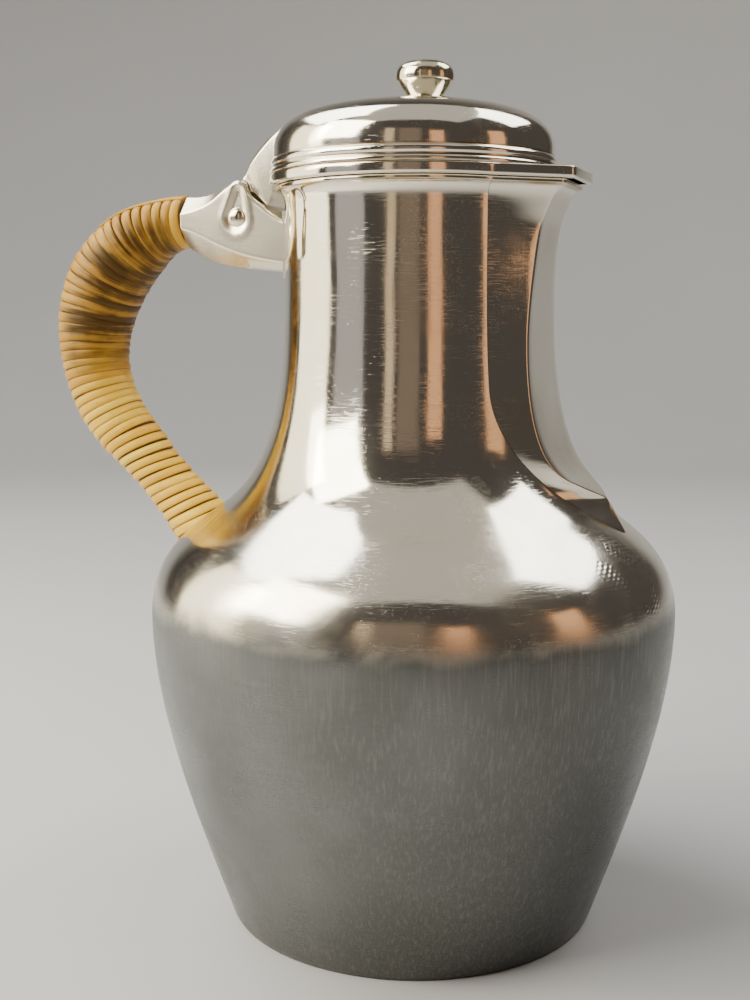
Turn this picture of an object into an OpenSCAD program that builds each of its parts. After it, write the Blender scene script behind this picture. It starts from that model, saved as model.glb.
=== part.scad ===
// Coffee pot: round-bellied silver pot with a faceted spout, a hinged lid and a cane-bound handle.
// The spout points along +X, the handle along -X, and the pot stands on z = 0. Millimetres.

/* [Pot] */
// Radius of the flat bottom
foot_r = 40.2; // [37:0.1:43]
// Largest radius of the belly
belly_r = 56.7; // [54:0.1:60]
// Height of the widest point of the belly
belly_z = 67.2; // [64:0.1:70]
// Radius where the shoulder turns into the neck
turn_r = 42.2; // [40.5:0.1:44]
// Height where the shoulder turns into the neck
turn_z = 89.2; // [87:0.1:91]
// Radius of the straight part of the neck
neck_r = 27.3; // [26:0.1:28.5]
// Height where the neck becomes straight
neck_z = 142.7; // [136:0.1:146]
// Height of the top of the neck wall
neck_top_z = 156; // [154:0.1:162]
// Thickness of the raised silver wall
wall = 1.2; // [0.9:0.05:1.5]
// How far the neck flares out at its top
mouth_flare = 1.2; // [0.6:0.05:1.3]
// Thickness of the bottom disc
base_t = 1.2; // [0.8:0.05:2]

/* [Mouth] */
// Thickness of the flat rim soldered on the mouth
rim_t = 1; // [0.6:0.05:1.4]
// How far the rim stands out past the neck
rim_out = 1.7; // [1.4:0.05:2]
// Reach of the spout lip from the pot's axis past the neck radius
lip_reach = 7.1; // [6:0.1:8]
// Half width of the spout lip
lip_half_w = 8.2; // [7:0.1:9]

/* [Spout] */
// Height of the spout's foot below the shoulder turn
spout_foot_drop = 3.1; // [2:0.1:4]
// Angle of each flank's foot from the spout's middle
spout_spread = 38.4; // [36:0.1:41]
// Height over which the flanks spread from the foot
spread_h = 30; // [26:0.5:34]
// Height of the front face's lower point above the spout's foot
point_h = 6.7; // [6.2:0.1:7.2]
// Widest half width of the flat front face
face_half_w = 12.9; // [12:0.1:13.6]
// Half width of the front face at the top
face_top_half_w = 7.7; // [7:0.1:8.2]
// How far the keel stands out of the shoulder
keel_proud = 4.7; // [4:0.1:5.4]
// How far the front face stands out of the neck at its slimmest
face_proud = 0.45; // [0.4:0.05:0.7]
// How far the front face stands out just under the rim
face_top_proud = 5.4; // [4.8:0.1:5.8]
// Thickness of the spout's sheet
spout_wall = 0.8; // [0.6:0.05:1]
// Half width of the window in the neck behind the spout
window_half_w = 8; // [7:0.1:9]
// Height of the window's foot above the spout's foot
window_h = 12.5; // [12:0.5:15]

/* [Lid] */
// How far the lid's flange stands out past the neck
flange_out = 3.1; // [2.9:0.05:3.4]
// Thickness of the lid's flange
flange_t = 2.3; // [1.8:0.05:2.8]
// How far the lid's beak stands out past the spout lip
beak_over = 2; // [1.6:0.1:2.4]
// How much wider the beak is than the lip, on each side
beak_side = 0.5; // [0.3:0.05:1]
// Height of the round moulding on the flange
moulding_h = 3.2; // [2.8:0.05:3.6]
// Width of the round moulding outside the dome
moulding_w = 0.6; // [0.5:0.05:0.65]
// Height of the straight skirt of the dome
skirt_h = 4.1; // [3.8:0.1:4.6]
// Step from the flange's edge in to the dome
dome_step = 0.8; // [0.75:0.05:1]
// Height of the dome above its skirt
dome_rise = 10.6; // [9.6:0.1:11.4]
// Thickness of the lid's dome
dome_t = 1; // [0.8:0.05:1.2]
// Depth of the inner collar below the flange
bezel_drop = 4.6; // [3:0.1:5.5]
// Thickness of the inner collar
bezel_t = 1; // [0.8:0.05:1.3]
// Room between the inner collar and the mouth
bezel_gap = 0.7; // [0.6:0.05:0.9]
// Height of the pouring way cut in the flange's underside
pour_h = 1.3; // [1:0.1:1.4]
// Half width of the pouring way
pour_half_w = 6.4; // [6:0.1:6.8]
// Opening of the pouring way in front of the lip
pour_gap = 1.2; // [0.8:0.05:1.2]

/* [Finial] */
// How far the finial stands off the lid's centre towards the spout
finial_x = 2.4; // [0:0.1:4]
// Height of the finial above the dome
finial_h = 8.3; // [7.5:0.1:9]
// Largest radius of the finial
finial_r = 6.1; // [5.5:0.1:6.6]
// Radius of the finial's base
finial_base_r = 3.3; // [3:0.1:3.6]
// Radius of the finial's threaded stud
stud_r = 1.2; // [1:0.05:1.4]
// Length of the stud below the dome's top
stud_l = 5; // [4.5:0.1:6]
// Thickness of the washer under the dome
washer_t = 0.8; // [0.6:0.05:1]
// Radius of the washer
washer_r = 3.4; // [3:0.1:4]
// Thickness of the nut on the stud
nut_t = 2; // [1.6:0.1:2.2]
// Width of the nut across its flats
nut_flats = 5; // [4.5:0.1:5.5]

/* [Hinge] */
// Distance of the hinge axis from the neck
hinge_reach = 10.9; // [10.5:0.1:11.5]
// Height of the hinge axis above the top of the neck wall
hinge_up = 1.8; // [1.5:0.05:2.2]
// Radius of the hinge knuckles
knuckle_r = 1.6; // [1.5:0.05:1.7]
// Half length of the middle knuckle
knuckle_half_l = 1.9; // [1.6:0.05:2.2]
// Radius of the hinge pin
pin_r = 0.75; // [0.65:0.05:0.85]
// Half width of the leaf between the cheeks
leaf_half_w = 4.3; // [4:0.05:4.4]
// Half width of the leaf where it meets the lid
leaf_root_half_w = 6; // [5:0.1:7]
// Distance of the leaf's lower tip from the neck
leaf_tip_gap = 4.5; // [4.2:0.1:5]
// Drop of the leaf's lower tip below the hinge axis
leaf_tip_drop = 3.75; // [3.3:0.05:4]
// Height of the leaf's top above the hinge axis
leaf_rise = 13.6; // [13:0.1:14.2]

/* [Socket] */
// Length of the handle socket from the neck
socket_l = 26; // [24:0.5:28]
// Half width of the socket at its cheeks
socket_half_w = 6.2; // [6:0.05:6.6]
// Half width of the socket at the handle
socket_end_half_w = 5.5; // [5.2:0.05:5.7]
// Thickness of the cheeks beside the hinge
cheek_t = 1.6; // [1.4:0.05:1.7]
// Height of the handle's start below the hinge axis
handle_drop = 6.5; // [6.3:0.05:6.7]
// Radius of the core's tenon in the socket
tenon_r = 4.1; // [3.8:0.05:4.3]
// Length of the tenon
tenon_l = 16.5; // [15.5:0.1:16.8]
// Distance of the rivet from the neck
rivet_out = 11.7; // [11.3:0.1:12.5]
// Radius of the rivet's shank
rivet_r = 1.2; // [1:0.05:1.4]
// Radius of the rivet's domed heads
rivet_head_r = 2.1; // [1.8:0.05:2.3]
// Height of the rivet's domed heads
rivet_head_h = 1; // [0.8:0.05:1.2]
// Depth of the pear-shaped dish round the rivet
dish_depth = 0.5; // [0.3:0.05:0.6]
// Radius of the dish round the rivet
dish_r = 2.7; // [2.5:0.05:2.9]
// Radius of the dish's narrow end at the hinge pin
dish_tip_r = 1; // [0.9:0.05:1.2]
// Half width of the plate between the socket and the neck
plate_half_w = 8; // [7:0.1:9]
// Thickness of the plate between the socket and the neck
plate_t = 0.8; // [0.6:0.05:1]

/* [Handle] */
// Radius of the handle's bend
bend_r = 28; // [27:0.1:29]
// Angle of the handle's start above the bend's centre
bend_from = 86.5; // [85:0.5:88]
// Angle of the bend's end below its centre
bend_to = 43.2; // [41:0.2:45]
// Radius of the bound handle at the socket
grip_start_r = 5.8; // [5.6:0.05:6]
// Largest radius of the bound handle
grip_r = 9.55; // [9:0.05:10.1]
// Radius of the bound handle at its slim lower part
grip_slim_r = 6.2; // [6:0.05:6.8]
// Radius of the bound handle at the shoulder
grip_end_r = 7.2; // [6.9:0.05:7.6]
// Thickness of the cane
cane_t = 1; // [0.8:0.05:1.1]
// Width of one turn of the cane
cane_w = 2.05; // [1.9:0.05:2.4]
// Width of one turn of the cane on the straight leg
leg_cane_w = 2.4; // [2.2:0.05:2.7]
// Bulge of each turn of the cane
cane_bulge = 0.35; // [0.2:0.05:0.45]
// Radius of the peg that holds the handle's lower end
peg_r = 2.4; // [2:0.1:2.8]
// Length of the peg above the shoulder
peg_l = 13; // [11:0.5:15]
// Radius of the peg's foot
peg_foot_r = 4.4; // [4:0.1:4.8]
// Thickness of the peg's foot along the handle
peg_foot_t = 1.2; // [1:0.1:1.6]
// Radius of the pin through the peg
peg_pin_r = 0.8; // [0.7:0.05:1]
// Height of that pin above the peg's foot
peg_pin_up = 7; // [6:0.1:8]

/* [Fits] */
// Gap of a soldered joint
solder = 0.02; // [0.01:0.01:0.05]
// Radial clearance of the hinge pin
pin_fit = 0.04; // [0.02:0.01:0.08]
// Clearance of wood and rivets in their seats
seat_fit = 0.08; // [0.05:0.01:0.12]
// Gap between the closed lid and the rim
lid_gap = 0.1; // [0.05:0.05:0.2]
// Running gap between moving hinge pieces
hinge_gap = 0.25; // [0.2:0.05:0.3]
// Gap between turns of the cane
cane_gap = 0.08; // [0.05:0.01:0.12]

/* [Hidden] */
$fn = 96;
tiny = 0.01;
// Depth to which one shape runs into another that it joins
overlap = 2;

silver = [0.80, 0.79, 0.76];
silver_warm = [0.78, 0.75, 0.68];
cane_colour = [0.80, 0.62, 0.34];
wood_colour = [0.30, 0.19, 0.11];

// ---- curves ----
function bezier(p, t) = pow(1 - t, 3) * p[0] + 3 * pow(1 - t, 2) * t * p[1]
    + 3 * (1 - t) * t * t * p[2] + pow(t, 3) * p[3];
function bezier_points(p, n, first = 0) = [for (i = [first:n]) bezier(p, i / n)];

// Smooth curve through rows of [position, value], with the position rising
function slope(rows, i) = let (a = max(i - 1, 0), b = min(i + 1, len(rows) - 1))
    (rows[b][1] - rows[a][1]) / (rows[b][0] - rows[a][0]);
function span(rows, x, i = 0) = (i >= len(rows) - 2 || x < rows[i + 1][0]) ? i : span(rows, x, i + 1);
function smooth(rows, x) = let (
    i = span(rows, x),
    w = rows[i + 1][0] - rows[i][0],
    t = max(0, min(1, (x - rows[i][0]) / w)))
    (1 + 2 * t) * pow(1 - t, 2) * rows[i][1] + t * pow(1 - t, 2) * w * slope(rows, i)
    + t * t * (3 - 2 * t) * rows[i + 1][1] - t * t * (1 - t) * w * slope(rows, i + 1);

// Points moved sideways by d, to the left of the way they run
function beside(pts, d) = [for (i = [0:len(pts) - 1])
    let (a = pts[max(i - 1, 0)], b = pts[min(i + 1, len(pts) - 1)], v = (b - a) / norm(b - a))
    pts[i] + d * [-v[1], v[0]]];

// Closed skin through rings that have the same number of points
module loft(rings) {
    m = len(rings[0]);
    n = len(rings);
    points = [for (ring = rings) for (p = ring) p];
    sides = [for (i = [0:n - 2]) for (j = [0:m - 1]) let (k = (j + 1) % m)
        each [[i * m + j, (i + 1) * m + j, (i + 1) * m + k], [i * m + j, (i + 1) * m + k, i * m + k]]];
    first = [for (j = [0:m - 1]) j];
    last = [for (j = [m - 1:-1:0]) (n - 1) * m + j];
    polyhedron(points = points, faces = concat([first], sides, [last]), convexity = 10);
}

module along_y(half_l, r, fn = $fn) {
    rotate([90, 0, 0]) cylinder(h = 2 * half_l, r = r, center = true, $fn = fn);
}

// ---- pot outline: radius and height ----
belly_curve = [[foot_r, 0], [foot_r + 5.2, 15.4], [belly_r, belly_z - 23], [belly_r, belly_z]];
shoulder_curve = [[belly_r, belly_z], [belly_r, belly_z + 12.1], [turn_r + 7, turn_z - 5.05],
                  [turn_r, turn_z]];
neck_curve = [[turn_r, turn_z], [turn_r - 12.1, turn_z + 8.7], [neck_r, neck_z - 31.7],
              [neck_r, neck_z]];
flare_h = 5;
flare_curve = [[neck_r, neck_top_z - flare_h], [neck_r, neck_top_z - 2], [neck_r + 0.2, neck_top_z - 0.8],
               [neck_r + mouth_flare, neck_top_z]];
curve_steps = 14;
outline = concat(bezier_points(belly_curve, curve_steps), bezier_points(shoulder_curve, curve_steps, 1),
                 bezier_points(neck_curve, curve_steps + 4, 1), bezier_points(flare_curve, 6));
inner_outline = [for (p = beside(outline, wall)) [p[0], max(-1, min(neck_top_z + 1, p[1]))]];
outline_by_z = [for (p = outline) [p[1], p[0]]];
function pot_r(z) = lookup(z, outline_by_z);

module pot_outside(extra = 0) {
    rotate_extrude() polygon(concat([[0, -extra]], beside(outline, -extra), [[0, neck_top_z]]));
}

// ---- spout: heights are measured from its foot, h, and down from the neck's top ----
spout_z = turn_z - spout_foot_drop;
spout_h = neck_top_z - spout_z;
// Smallest half width and stand-out of the keel
keel_edge = 0.2 * spout_wall;
face_rows = [[0, keel_edge], [point_h, keel_edge], [1.24 * point_h, 0.26 * face_half_w],
    [1.48 * point_h, 0.52 * face_half_w], [1.75 * point_h, 0.78 * face_half_w],
    [2.2 * point_h, 0.94 * face_half_w], [2.8 * point_h, face_half_w], [3.84 * point_h, 0.99 * face_half_w],
    [0.6 * spout_h, 0.86 * face_half_w], [0.77 * spout_h, 1.18 * face_top_half_w],
    [0.885 * spout_h, 1.08 * face_top_half_w], [spout_h, face_top_half_w]];
proud_rows = [[0, keel_edge], [0.28 * point_h, 0.34 * keel_proud], [0.58 * point_h, 0.68 * keel_proud],
    [point_h, keel_proud], [1.24 * point_h, 0.95 * keel_proud], [1.48 * point_h, 0.7 * keel_proud],
    [1.75 * point_h, 0.42 * keel_proud], [2.1 * point_h, 0.24 * keel_proud],
    [2.64 * point_h, 1.4 * face_proud], [3.84 * point_h, face_proud], [0.485 * spout_h, face_proud],
    [0.6 * spout_h, 1.4 * face_proud], [0.77 * spout_h, face_proud + 0.2 * (face_top_proud - face_proud)],
    [0.885 * spout_h, face_proud + 0.4 * (face_top_proud - face_proud)],
    [0.957 * spout_h, face_proud + 0.76 * (face_top_proud - face_proud)], [spout_h, face_top_proud]];
function spread(h) = 0.5 + spout_spread * sin(90 * min(1, h / spread_h));
inner_spread_share = 0.74;
foot_steps = 4;

function on_neck(z, a) = let (r = pot_r(z) + solder) [r * cos(a), r * sin(a), z];
function spout_section(h) = let (
    z = spout_z + h,
    half = smooth(face_rows, h),
    out = pot_r(z) + max(keel_edge, smooth(proud_rows, h)),
    a = spread(h),
    back = max(out - spout_wall, h < window_h + window_half_w ? pot_r(z) + 2 * solder : 0),
    back_half = max(half - 0.4 * spout_wall, 0.3 * half),
    foot = [for (i = [0:foot_steps]) a * (1 - (1 - inner_spread_share) * i / foot_steps)])
    concat([[out, -half, z], [out, half, z]], [for (b = foot) on_neck(z, b)],
        [[back, back_half, z], [back, -back_half, z]], [for (i = [foot_steps:-1:0]) on_neck(z, -foot[i])]);

spout_steps = 44;
module spout() {
    color(silver) loft([for (i = [0:spout_steps])
        let (t = i / spout_steps) spout_section(spout_h * (0.35 * t + 0.65 * pow(t, 1.6)))]);
}

module window() {
    z = spout_z + window_h + window_half_w;
    translate([0, 0, z]) rotate([0, 90, 0]) cylinder(h = 2 * belly_r, r = window_half_w);
    translate([0, -window_half_w, z]) cube([2 * belly_r, 2 * window_half_w, neck_top_z]);
}

// ---- pot body ----
module body_shell() {
    n = len(outline);
    color(silver) difference() {
        intersection() {
            rotate_extrude() polygon(concat(outline, [for (i = [n - 1:-1:0]) inner_outline[i]]));
            cylinder(h = neck_top_z, r = 2 * belly_r);
        }
        window();
    }
}

module base_disc() {
    color(silver) cylinder(h = base_t, r = foot_r - wall - 3 * solder);
}

// ---- mouth ----
rim_z = neck_top_z + rim_t;
mouth_r = neck_r - wall;
rim_r = neck_r + rim_out;
lip_x = neck_r + lip_reach;
mouth_a = 38;

// A circle with a straight-sided beak along +X that leaves the circle at angle a on each side
module beaked_outline(r, a, x, half_w) {
    leave = r * [cos(a), sin(a)];
    tip = [x, half_w];
    start = leave - overlap * (tip - leave) / norm(tip - leave);
    circle(r);
    polygon([[0, 0], [start[0], -start[1]], [x, -half_w], tip, start]);
}

module mouth_rim() {
    color(silver) translate([0, 0, neck_top_z]) linear_extrude(rim_t) difference() {
        beaked_outline(rim_r, mouth_a, lip_x, lip_half_w);
        beaked_outline(mouth_r, mouth_a * inner_spread_share, lip_x - 3 * spout_wall,
                       lip_half_w - 1.5 * spout_wall);
    }
}

// ---- hinge and handle places ----
hinge_x = -(neck_r + hinge_reach);
hinge_z = neck_top_z + hinge_up;
socket_x = -(neck_r + socket_l);
handle_z = hinge_z - handle_drop;
slot_half_w = socket_half_w - cheek_t;
rivet_x = -(neck_r + rivet_out);
rivet_z = handle_z + 0.2;
dish_tip_z = hinge_z - 0.4;
// The socket starts this far inside the neck's outline
socket_dip = 0.8;
// The hinge's slot runs this far from the axis towards the handle and towards the neck
slot_back = 6.2;
slot_front = 2.2;
// Drops of the plate's lower and upper edge below the hinge axis
plate_low = 19.4;
plate_high = 5.4;

// ---- handle socket: rows give a distance from the neck and a height from the hinge axis ----
top_rows = [[-socket_dip, -7.2], [1.2, -6.6], [5.4, -3.8], [8.2, -1.6], [hinge_reach - 0.6, 1.2],
    [hinge_reach + 0.8, 1.6], [14.2, 0.6], [18.2, -0.9], [22, -1.45], [socket_l, -1.3]];
cheek_rows = [[-socket_dip, -16.3], [1.7, -16.1], [9.6, -14.5], [16.9, -11.8], [22, -9.4], [socket_l, -8.2]];
keel_rows = [[-socket_dip, -18.1], [1.9, -18], [10, -17.2], [18.6, -15.6], [22.5, -14], [socket_l, -11.8]];
width_rows = [[-socket_dip, socket_half_w], [15, socket_half_w],
    [21, 0.4 * socket_half_w + 0.6 * socket_end_half_w], [socket_l, socket_end_half_w]];
edge_rows = [[-socket_dip, 0.9], [hinge_reach + 2, 0.9], [18, 0.72], [socket_l, 0.42]];
keel_width_rows = [[-socket_dip, 0.5], [15, 0.48], [socket_l, 0.42]];

function socket_section(out) = let (
    x = -(neck_r + out),
    w = smooth(width_rows, out),
    top = hinge_z + smooth(top_rows, out),
    low = hinge_z + smooth(cheek_rows, out),
    keel = hinge_z + smooth(keel_rows, out),
    e = w * smooth(edge_rows, out),
    shoulder = top - 1.2 * (w - e),
    k = w * smooth(keel_width_rows, out))
    [[x, -k, keel], [x, -w, low], [x, -w, shoulder], [x, -e, top],
     [x, e, top], [x, w, shoulder], [x, w, low], [x, k, keel]];

socket_steps = 22;
module handle_socket() {
    color(silver) difference() {
        loft([for (i = [0:socket_steps])
            socket_section((socket_l + socket_dip) * i / socket_steps - socket_dip)]);
        socket_plate_solid(solder);
        // Seat of the handle's tenon
        translate([socket_x - 1, 0, handle_z]) rotate([0, 90, 0])
            cylinder(h = tenon_l + 1 + seat_fit, r = tenon_r + seat_fit);
        // Slot between the cheeks for the hinge
        translate([hinge_x - slot_back, -slot_half_w, hinge_z - knuckle_r - hinge_gap])
            cube([slot_back + slot_front, 2 * slot_half_w, socket_l]);
        // Seats of the pin and the rivet, and the dish round them
        translate([hinge_x, 0, hinge_z]) along_y(2 * socket_half_w, pin_r + pin_fit);
        translate([rivet_x, 0, rivet_z]) along_y(2 * socket_half_w, rivet_r + seat_fit);
        for (side = [-1, 1]) translate([0, side * (socket_half_w + 2 - dish_depth), 0]) hull() {
            translate([rivet_x, 0, handle_z]) along_y(2, dish_r, 32);
            translate([hinge_x, 0, dish_tip_z]) along_y(2, dish_tip_r, 32);
        }
    }
}

module socket_plate_solid(extra = 0) {
    low = hinge_z - plate_low - extra;
    high = hinge_z - plate_high + extra;
    intersection() {
        translate([0, 0, low]) difference() {
            cylinder(h = high - low, r = neck_r + plate_t + extra);
            translate([0, 0, -1]) cylinder(h = high - low + 2, r = neck_r + solder - (extra > 0 ? 3 : 0));
        }
        translate([-2 * neck_r, -plate_half_w - extra, low - 1])
            cube([2 * neck_r, 2 * (plate_half_w + extra), high - low + 2]);
    }
}

module socket_plate() {
    color(silver) difference() {
        socket_plate_solid();
        pot_outside(solder);
    }
}

module hinge_knuckles_pot() {
    l = slot_half_w - solder - knuckle_half_l - hinge_gap;
    color(silver) for (side = [-1, 1])
        translate([hinge_x, side * (slot_half_w - solder - l / 2), hinge_z]) difference() {
            along_y(l / 2, knuckle_r);
            along_y(l, pin_r + pin_fit);
        }
}

module hinge_pin() {
    color(silver) translate([hinge_x, 0, hinge_z]) along_y(socket_half_w - dish_depth + 0.2, pin_r);
}

module socket_rivet() {
    seat = socket_half_w - dish_depth + solder;
    color(silver_warm) translate([rivet_x, 0, rivet_z]) {
        along_y(seat + tiny, rivet_r);
        for (side = [-1, 1]) translate([0, side * seat, 0]) rotate([-side * 90, 0, 0])
            rotate_extrude() polygon(concat([[0, 0]], [for (i = [0:6])
                [rivet_head_r * cos(15 * i), rivet_head_h * sin(15 * i)]]));
    }
}

// ---- handle: one bend and a straight leg down to the shoulder ----
bend_x = neck_r + socket_l - bend_r * cos(bend_from);
bend_z = handle_z - bend_r * sin(bend_from);
bend_l = bend_r * (bend_from + bend_to) * PI / 180;
leg_start = [bend_x + bend_r * cos(bend_to), bend_z - bend_r * sin(bend_to)];
leg_way = [-sin(bend_to), -cos(bend_to)];
function leg_reach(t = 0) = let (p = leg_start + t * leg_way) (p[0] <= pot_r(p[1]) || t > handle_z) ? t
    : leg_reach(t + 0.1);
leg_l = leg_reach();
handle_l = bend_l + leg_l;

grip_swell = grip_r - grip_slim_r;
grip_rows = [[0, grip_start_r], [0.07, 1.155 * grip_start_r], [0.17, grip_slim_r + 0.75 * grip_swell],
    [0.3, grip_r], [0.5, grip_slim_r + 0.55 * grip_swell], [0.67, grip_slim_r + 0.3 * grip_swell],
    [0.83, grip_slim_r], [1, grip_end_r]];
function grip(s) = smooth(grip_rows, s / handle_l);
function bend_a(s) = bend_from - s / bend_r * 180 / PI;

// The core and the binding start where their tilted first ring clears the socket's end
bind_start = grip_start_r * cos(bend_from) + cane_gap;

// A ring of the core, across the handle at distance s from the socket
core_sides = 24;
function core_ring(s) = let (
    a = s < bend_l ? bend_a(s) : -bend_to,
    p = s < bend_l ? [bend_x, bend_z] + bend_r * [cos(a), sin(a)] : leg_start + (s - bend_l) * leg_way,
    r = grip(s) - cane_t)
    [for (j = [0:core_sides - 1]) let (b = 360 * j / core_sides)
        [-(p[0] + r * cos(b) * cos(a)), r * sin(b), p[1] + r * cos(b) * sin(a)]];

core_steps = 40;
core_extra_l = 12;
module handle_core() {
    color(wood_colour) difference() {
        union() {
            loft([for (i = [0:core_steps])
                core_ring(bind_start + (handle_l + core_extra_l) * i / core_steps)]);
            translate([socket_x - 2, 0, handle_z]) rotate([0, 90, 0])
                cylinder(h = tenon_l + 2 - seat_fit, r = tenon_r);
        }
        pot_outside(2 * solder);
        peg_solid(seat_fit);
        translate([rivet_x, 0, rivet_z]) along_y(2 * socket_half_w, rivet_r + seat_fit);
        at_shoulder(peg_foot_t + peg_pin_up) along_y(2 * grip_r, peg_pin_r + seat_fit);
    }
}

// Moves to a point on the handle's leg, the given distance above the shoulder; +Z runs up the leg
module at_shoulder(up) {
    p = leg_start + (leg_l - up) * leg_way;
    translate([-p[0], 0, p[1]]) rotate([0, -bend_to, 0]) children();
}

module peg_solid(extra = 0) {
    at_shoulder(-2) cylinder(h = peg_l + 2 + extra, r = peg_r + extra);
    // The foot is long enough to meet the sloping shoulder all round
    at_shoulder(-peg_foot_r)
        cylinder(h = 1.5 * peg_foot_r + peg_foot_t + extra, r = peg_foot_r + extra);
}

module handle_peg() {
    color(silver) difference() {
        peg_solid();
        pot_outside(solder);
        at_shoulder(peg_foot_t + peg_pin_up) along_y(2 * grip_r, peg_pin_r + seat_fit);
    }
}

module peg_pin() {
    color(silver_warm) at_shoulder(peg_foot_t + peg_pin_up)
        along_y(grip(handle_l - peg_foot_t - peg_pin_up) - cane_t - 0.2, peg_pin_r);
}

// ---- cane ----
bend_turns = round(bend_l / cane_w);
bend_turn_l = (bend_l - bind_start) / bend_turns;
leg_turns = round(leg_l / leg_cane_w);
bulge_steps = 2;
function hole_r(s) = max(grip(s - cane_w / 2), grip(s + cane_w / 2)) - cane_t + seat_fit;

// One turn round the bend, with its middle at distance s from the socket
module bend_turn(s) {
    step = bend_turn_l / bend_r * 180 / PI;
    trim = cane_gap * 180 / PI / (bend_r - grip_r);
    translate([-bend_x, 0, bend_z]) rotate([90, 0, 0]) rotate([0, 0, 180 - bend_a(s) - (step - trim) / 2])
        rotate_extrude(angle = step - trim) translate([bend_r, 0]) difference() {
            circle(grip(s));
            circle(hole_r(s));
        }
}

// The turns round the leg, barrel-shaped and side by side on one sleeve
module leg_turns_sleeve() {
    w = leg_l / leg_turns;
    marks = [for (i = [0:leg_turns - 1]) for (k = [-bulge_steps:bulge_steps]) let (t = k / bulge_steps)
        [cane_bulge * t * t, (i + 0.5 + t / 2) * w]];
    ends = [cane_gap, leg_l - cane_gap];
    at_shoulder(0) rotate_extrude() polygon(concat(
        [for (m = marks) [grip(handle_l - m[1]) - m[0], max(ends[0], min(ends[1], m[1]))]],
        [for (i = [leg_turns:-1:0]) let (up = max(ends[0], min(ends[1], i * w)))
            [grip(handle_l - up) - cane_t + seat_fit, up]]));
}

module cane_binding() {
    color(cane_colour) {
        for (i = [0:bend_turns - 1]) bend_turn(bind_start + (i + 0.5) * bend_turn_l);
        difference() {
            leg_turns_sleeve();
            pot_outside(2 * solder);
        }
    }
}

// ---- lid ----
flange_z = rim_z + lid_gap;
flange_top_z = flange_z + flange_t;
flange_r = neck_r + flange_out;
beak_x = lip_x + beak_over;
beak_half_w = lip_half_w + beak_side;
beak_a = 39;
bezel_r = mouth_r - bezel_gap;
dome_r = flange_r - dome_step;
dome_z = flange_top_z + skirt_h;
dome_curve = [[dome_r, dome_z], [dome_r, dome_z + 0.68 * dome_rise], [0.79 * dome_r, dome_z + dome_rise],
              [0, dome_z + dome_rise]];
dome_steps = 16;
dome_outline = concat([[dome_r, flange_top_z]], bezier_points(dome_curve, dome_steps));
dome_inside = [for (p = beside(dome_outline, dome_t)) [max(0, p[0]), p[1]]];
crown_z = dome_z + dome_rise;

module lid_flange() {
    color(silver) difference() {
        translate([0, 0, flange_z]) linear_extrude(flange_t) difference() {
            beaked_outline(flange_r, beak_a, beak_x, beak_half_w);
            circle(bezel_r + solder);
        }
        pouring_way(flange_z - 1, lip_x + pour_gap, pour_half_w);
    }
}

// Room over the spout that lets the coffee out past the lip while the lid is shut
module pouring_way(low, reach, half_w) {
    translate([0, -half_w, low]) cube([reach, 2 * half_w, flange_z + pour_h - low]);
}

module lid_bezel() {
    color(silver) difference() {
        translate([0, 0, flange_z - bezel_drop]) cylinder(h = bezel_drop + flange_t, r = bezel_r);
        translate([0, 0, flange_z - bezel_drop - 1])
            cylinder(h = bezel_drop + flange_t + 2, r = bezel_r - bezel_t);
        pouring_way(flange_z - bezel_drop - 1, 2 * bezel_r, window_half_w);
    }
}

moulding_outline = [[0, 0], [0.9, 0], [1.1, 0.13], [0.9, 0.26], [0.55, 0.34], [0.5, 0.5], [0.8, 0.62],
                    [0.75, 0.75], [0.3, 0.92], [0, 1]];
module lid_moulding() {
    color(silver) rotate_extrude() polygon([for (p = moulding_outline)
        [dome_r + solder + p[0] * moulding_w, flange_top_z + p[1] * moulding_h]]);
}

module lid_dome() {
    n = len(dome_outline);
    color(silver) difference() {
        rotate_extrude() polygon(concat(dome_outline, [for (i = [n - 1:-1:1]) dome_inside[i]],
                                        [[dome_r - dome_t, flange_top_z]]));
        translate([finial_x, 0, crown_z - 3 * dome_t]) cylinder(h = 6 * dome_t, r = stud_r + seat_fit);
    }
}

// The closed lid as one solid, for pieces that are soldered on its outside
module lid_outside() {
    rotate_extrude() polygon(concat([[0, flange_z - 1], [flange_r + solder, flange_z - 1],
        [flange_r + solder, flange_top_z]],
        [for (i = [1:len(moulding_outline) - 1]) let (p = moulding_outline[i])
            [dome_r + 2 * solder + p[0] * moulding_w, flange_top_z + p[1] * moulding_h]],
        beside([for (i = [1:dome_steps]) dome_outline[i]], -solder), [[0, crown_z + solder]]));
}

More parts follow.
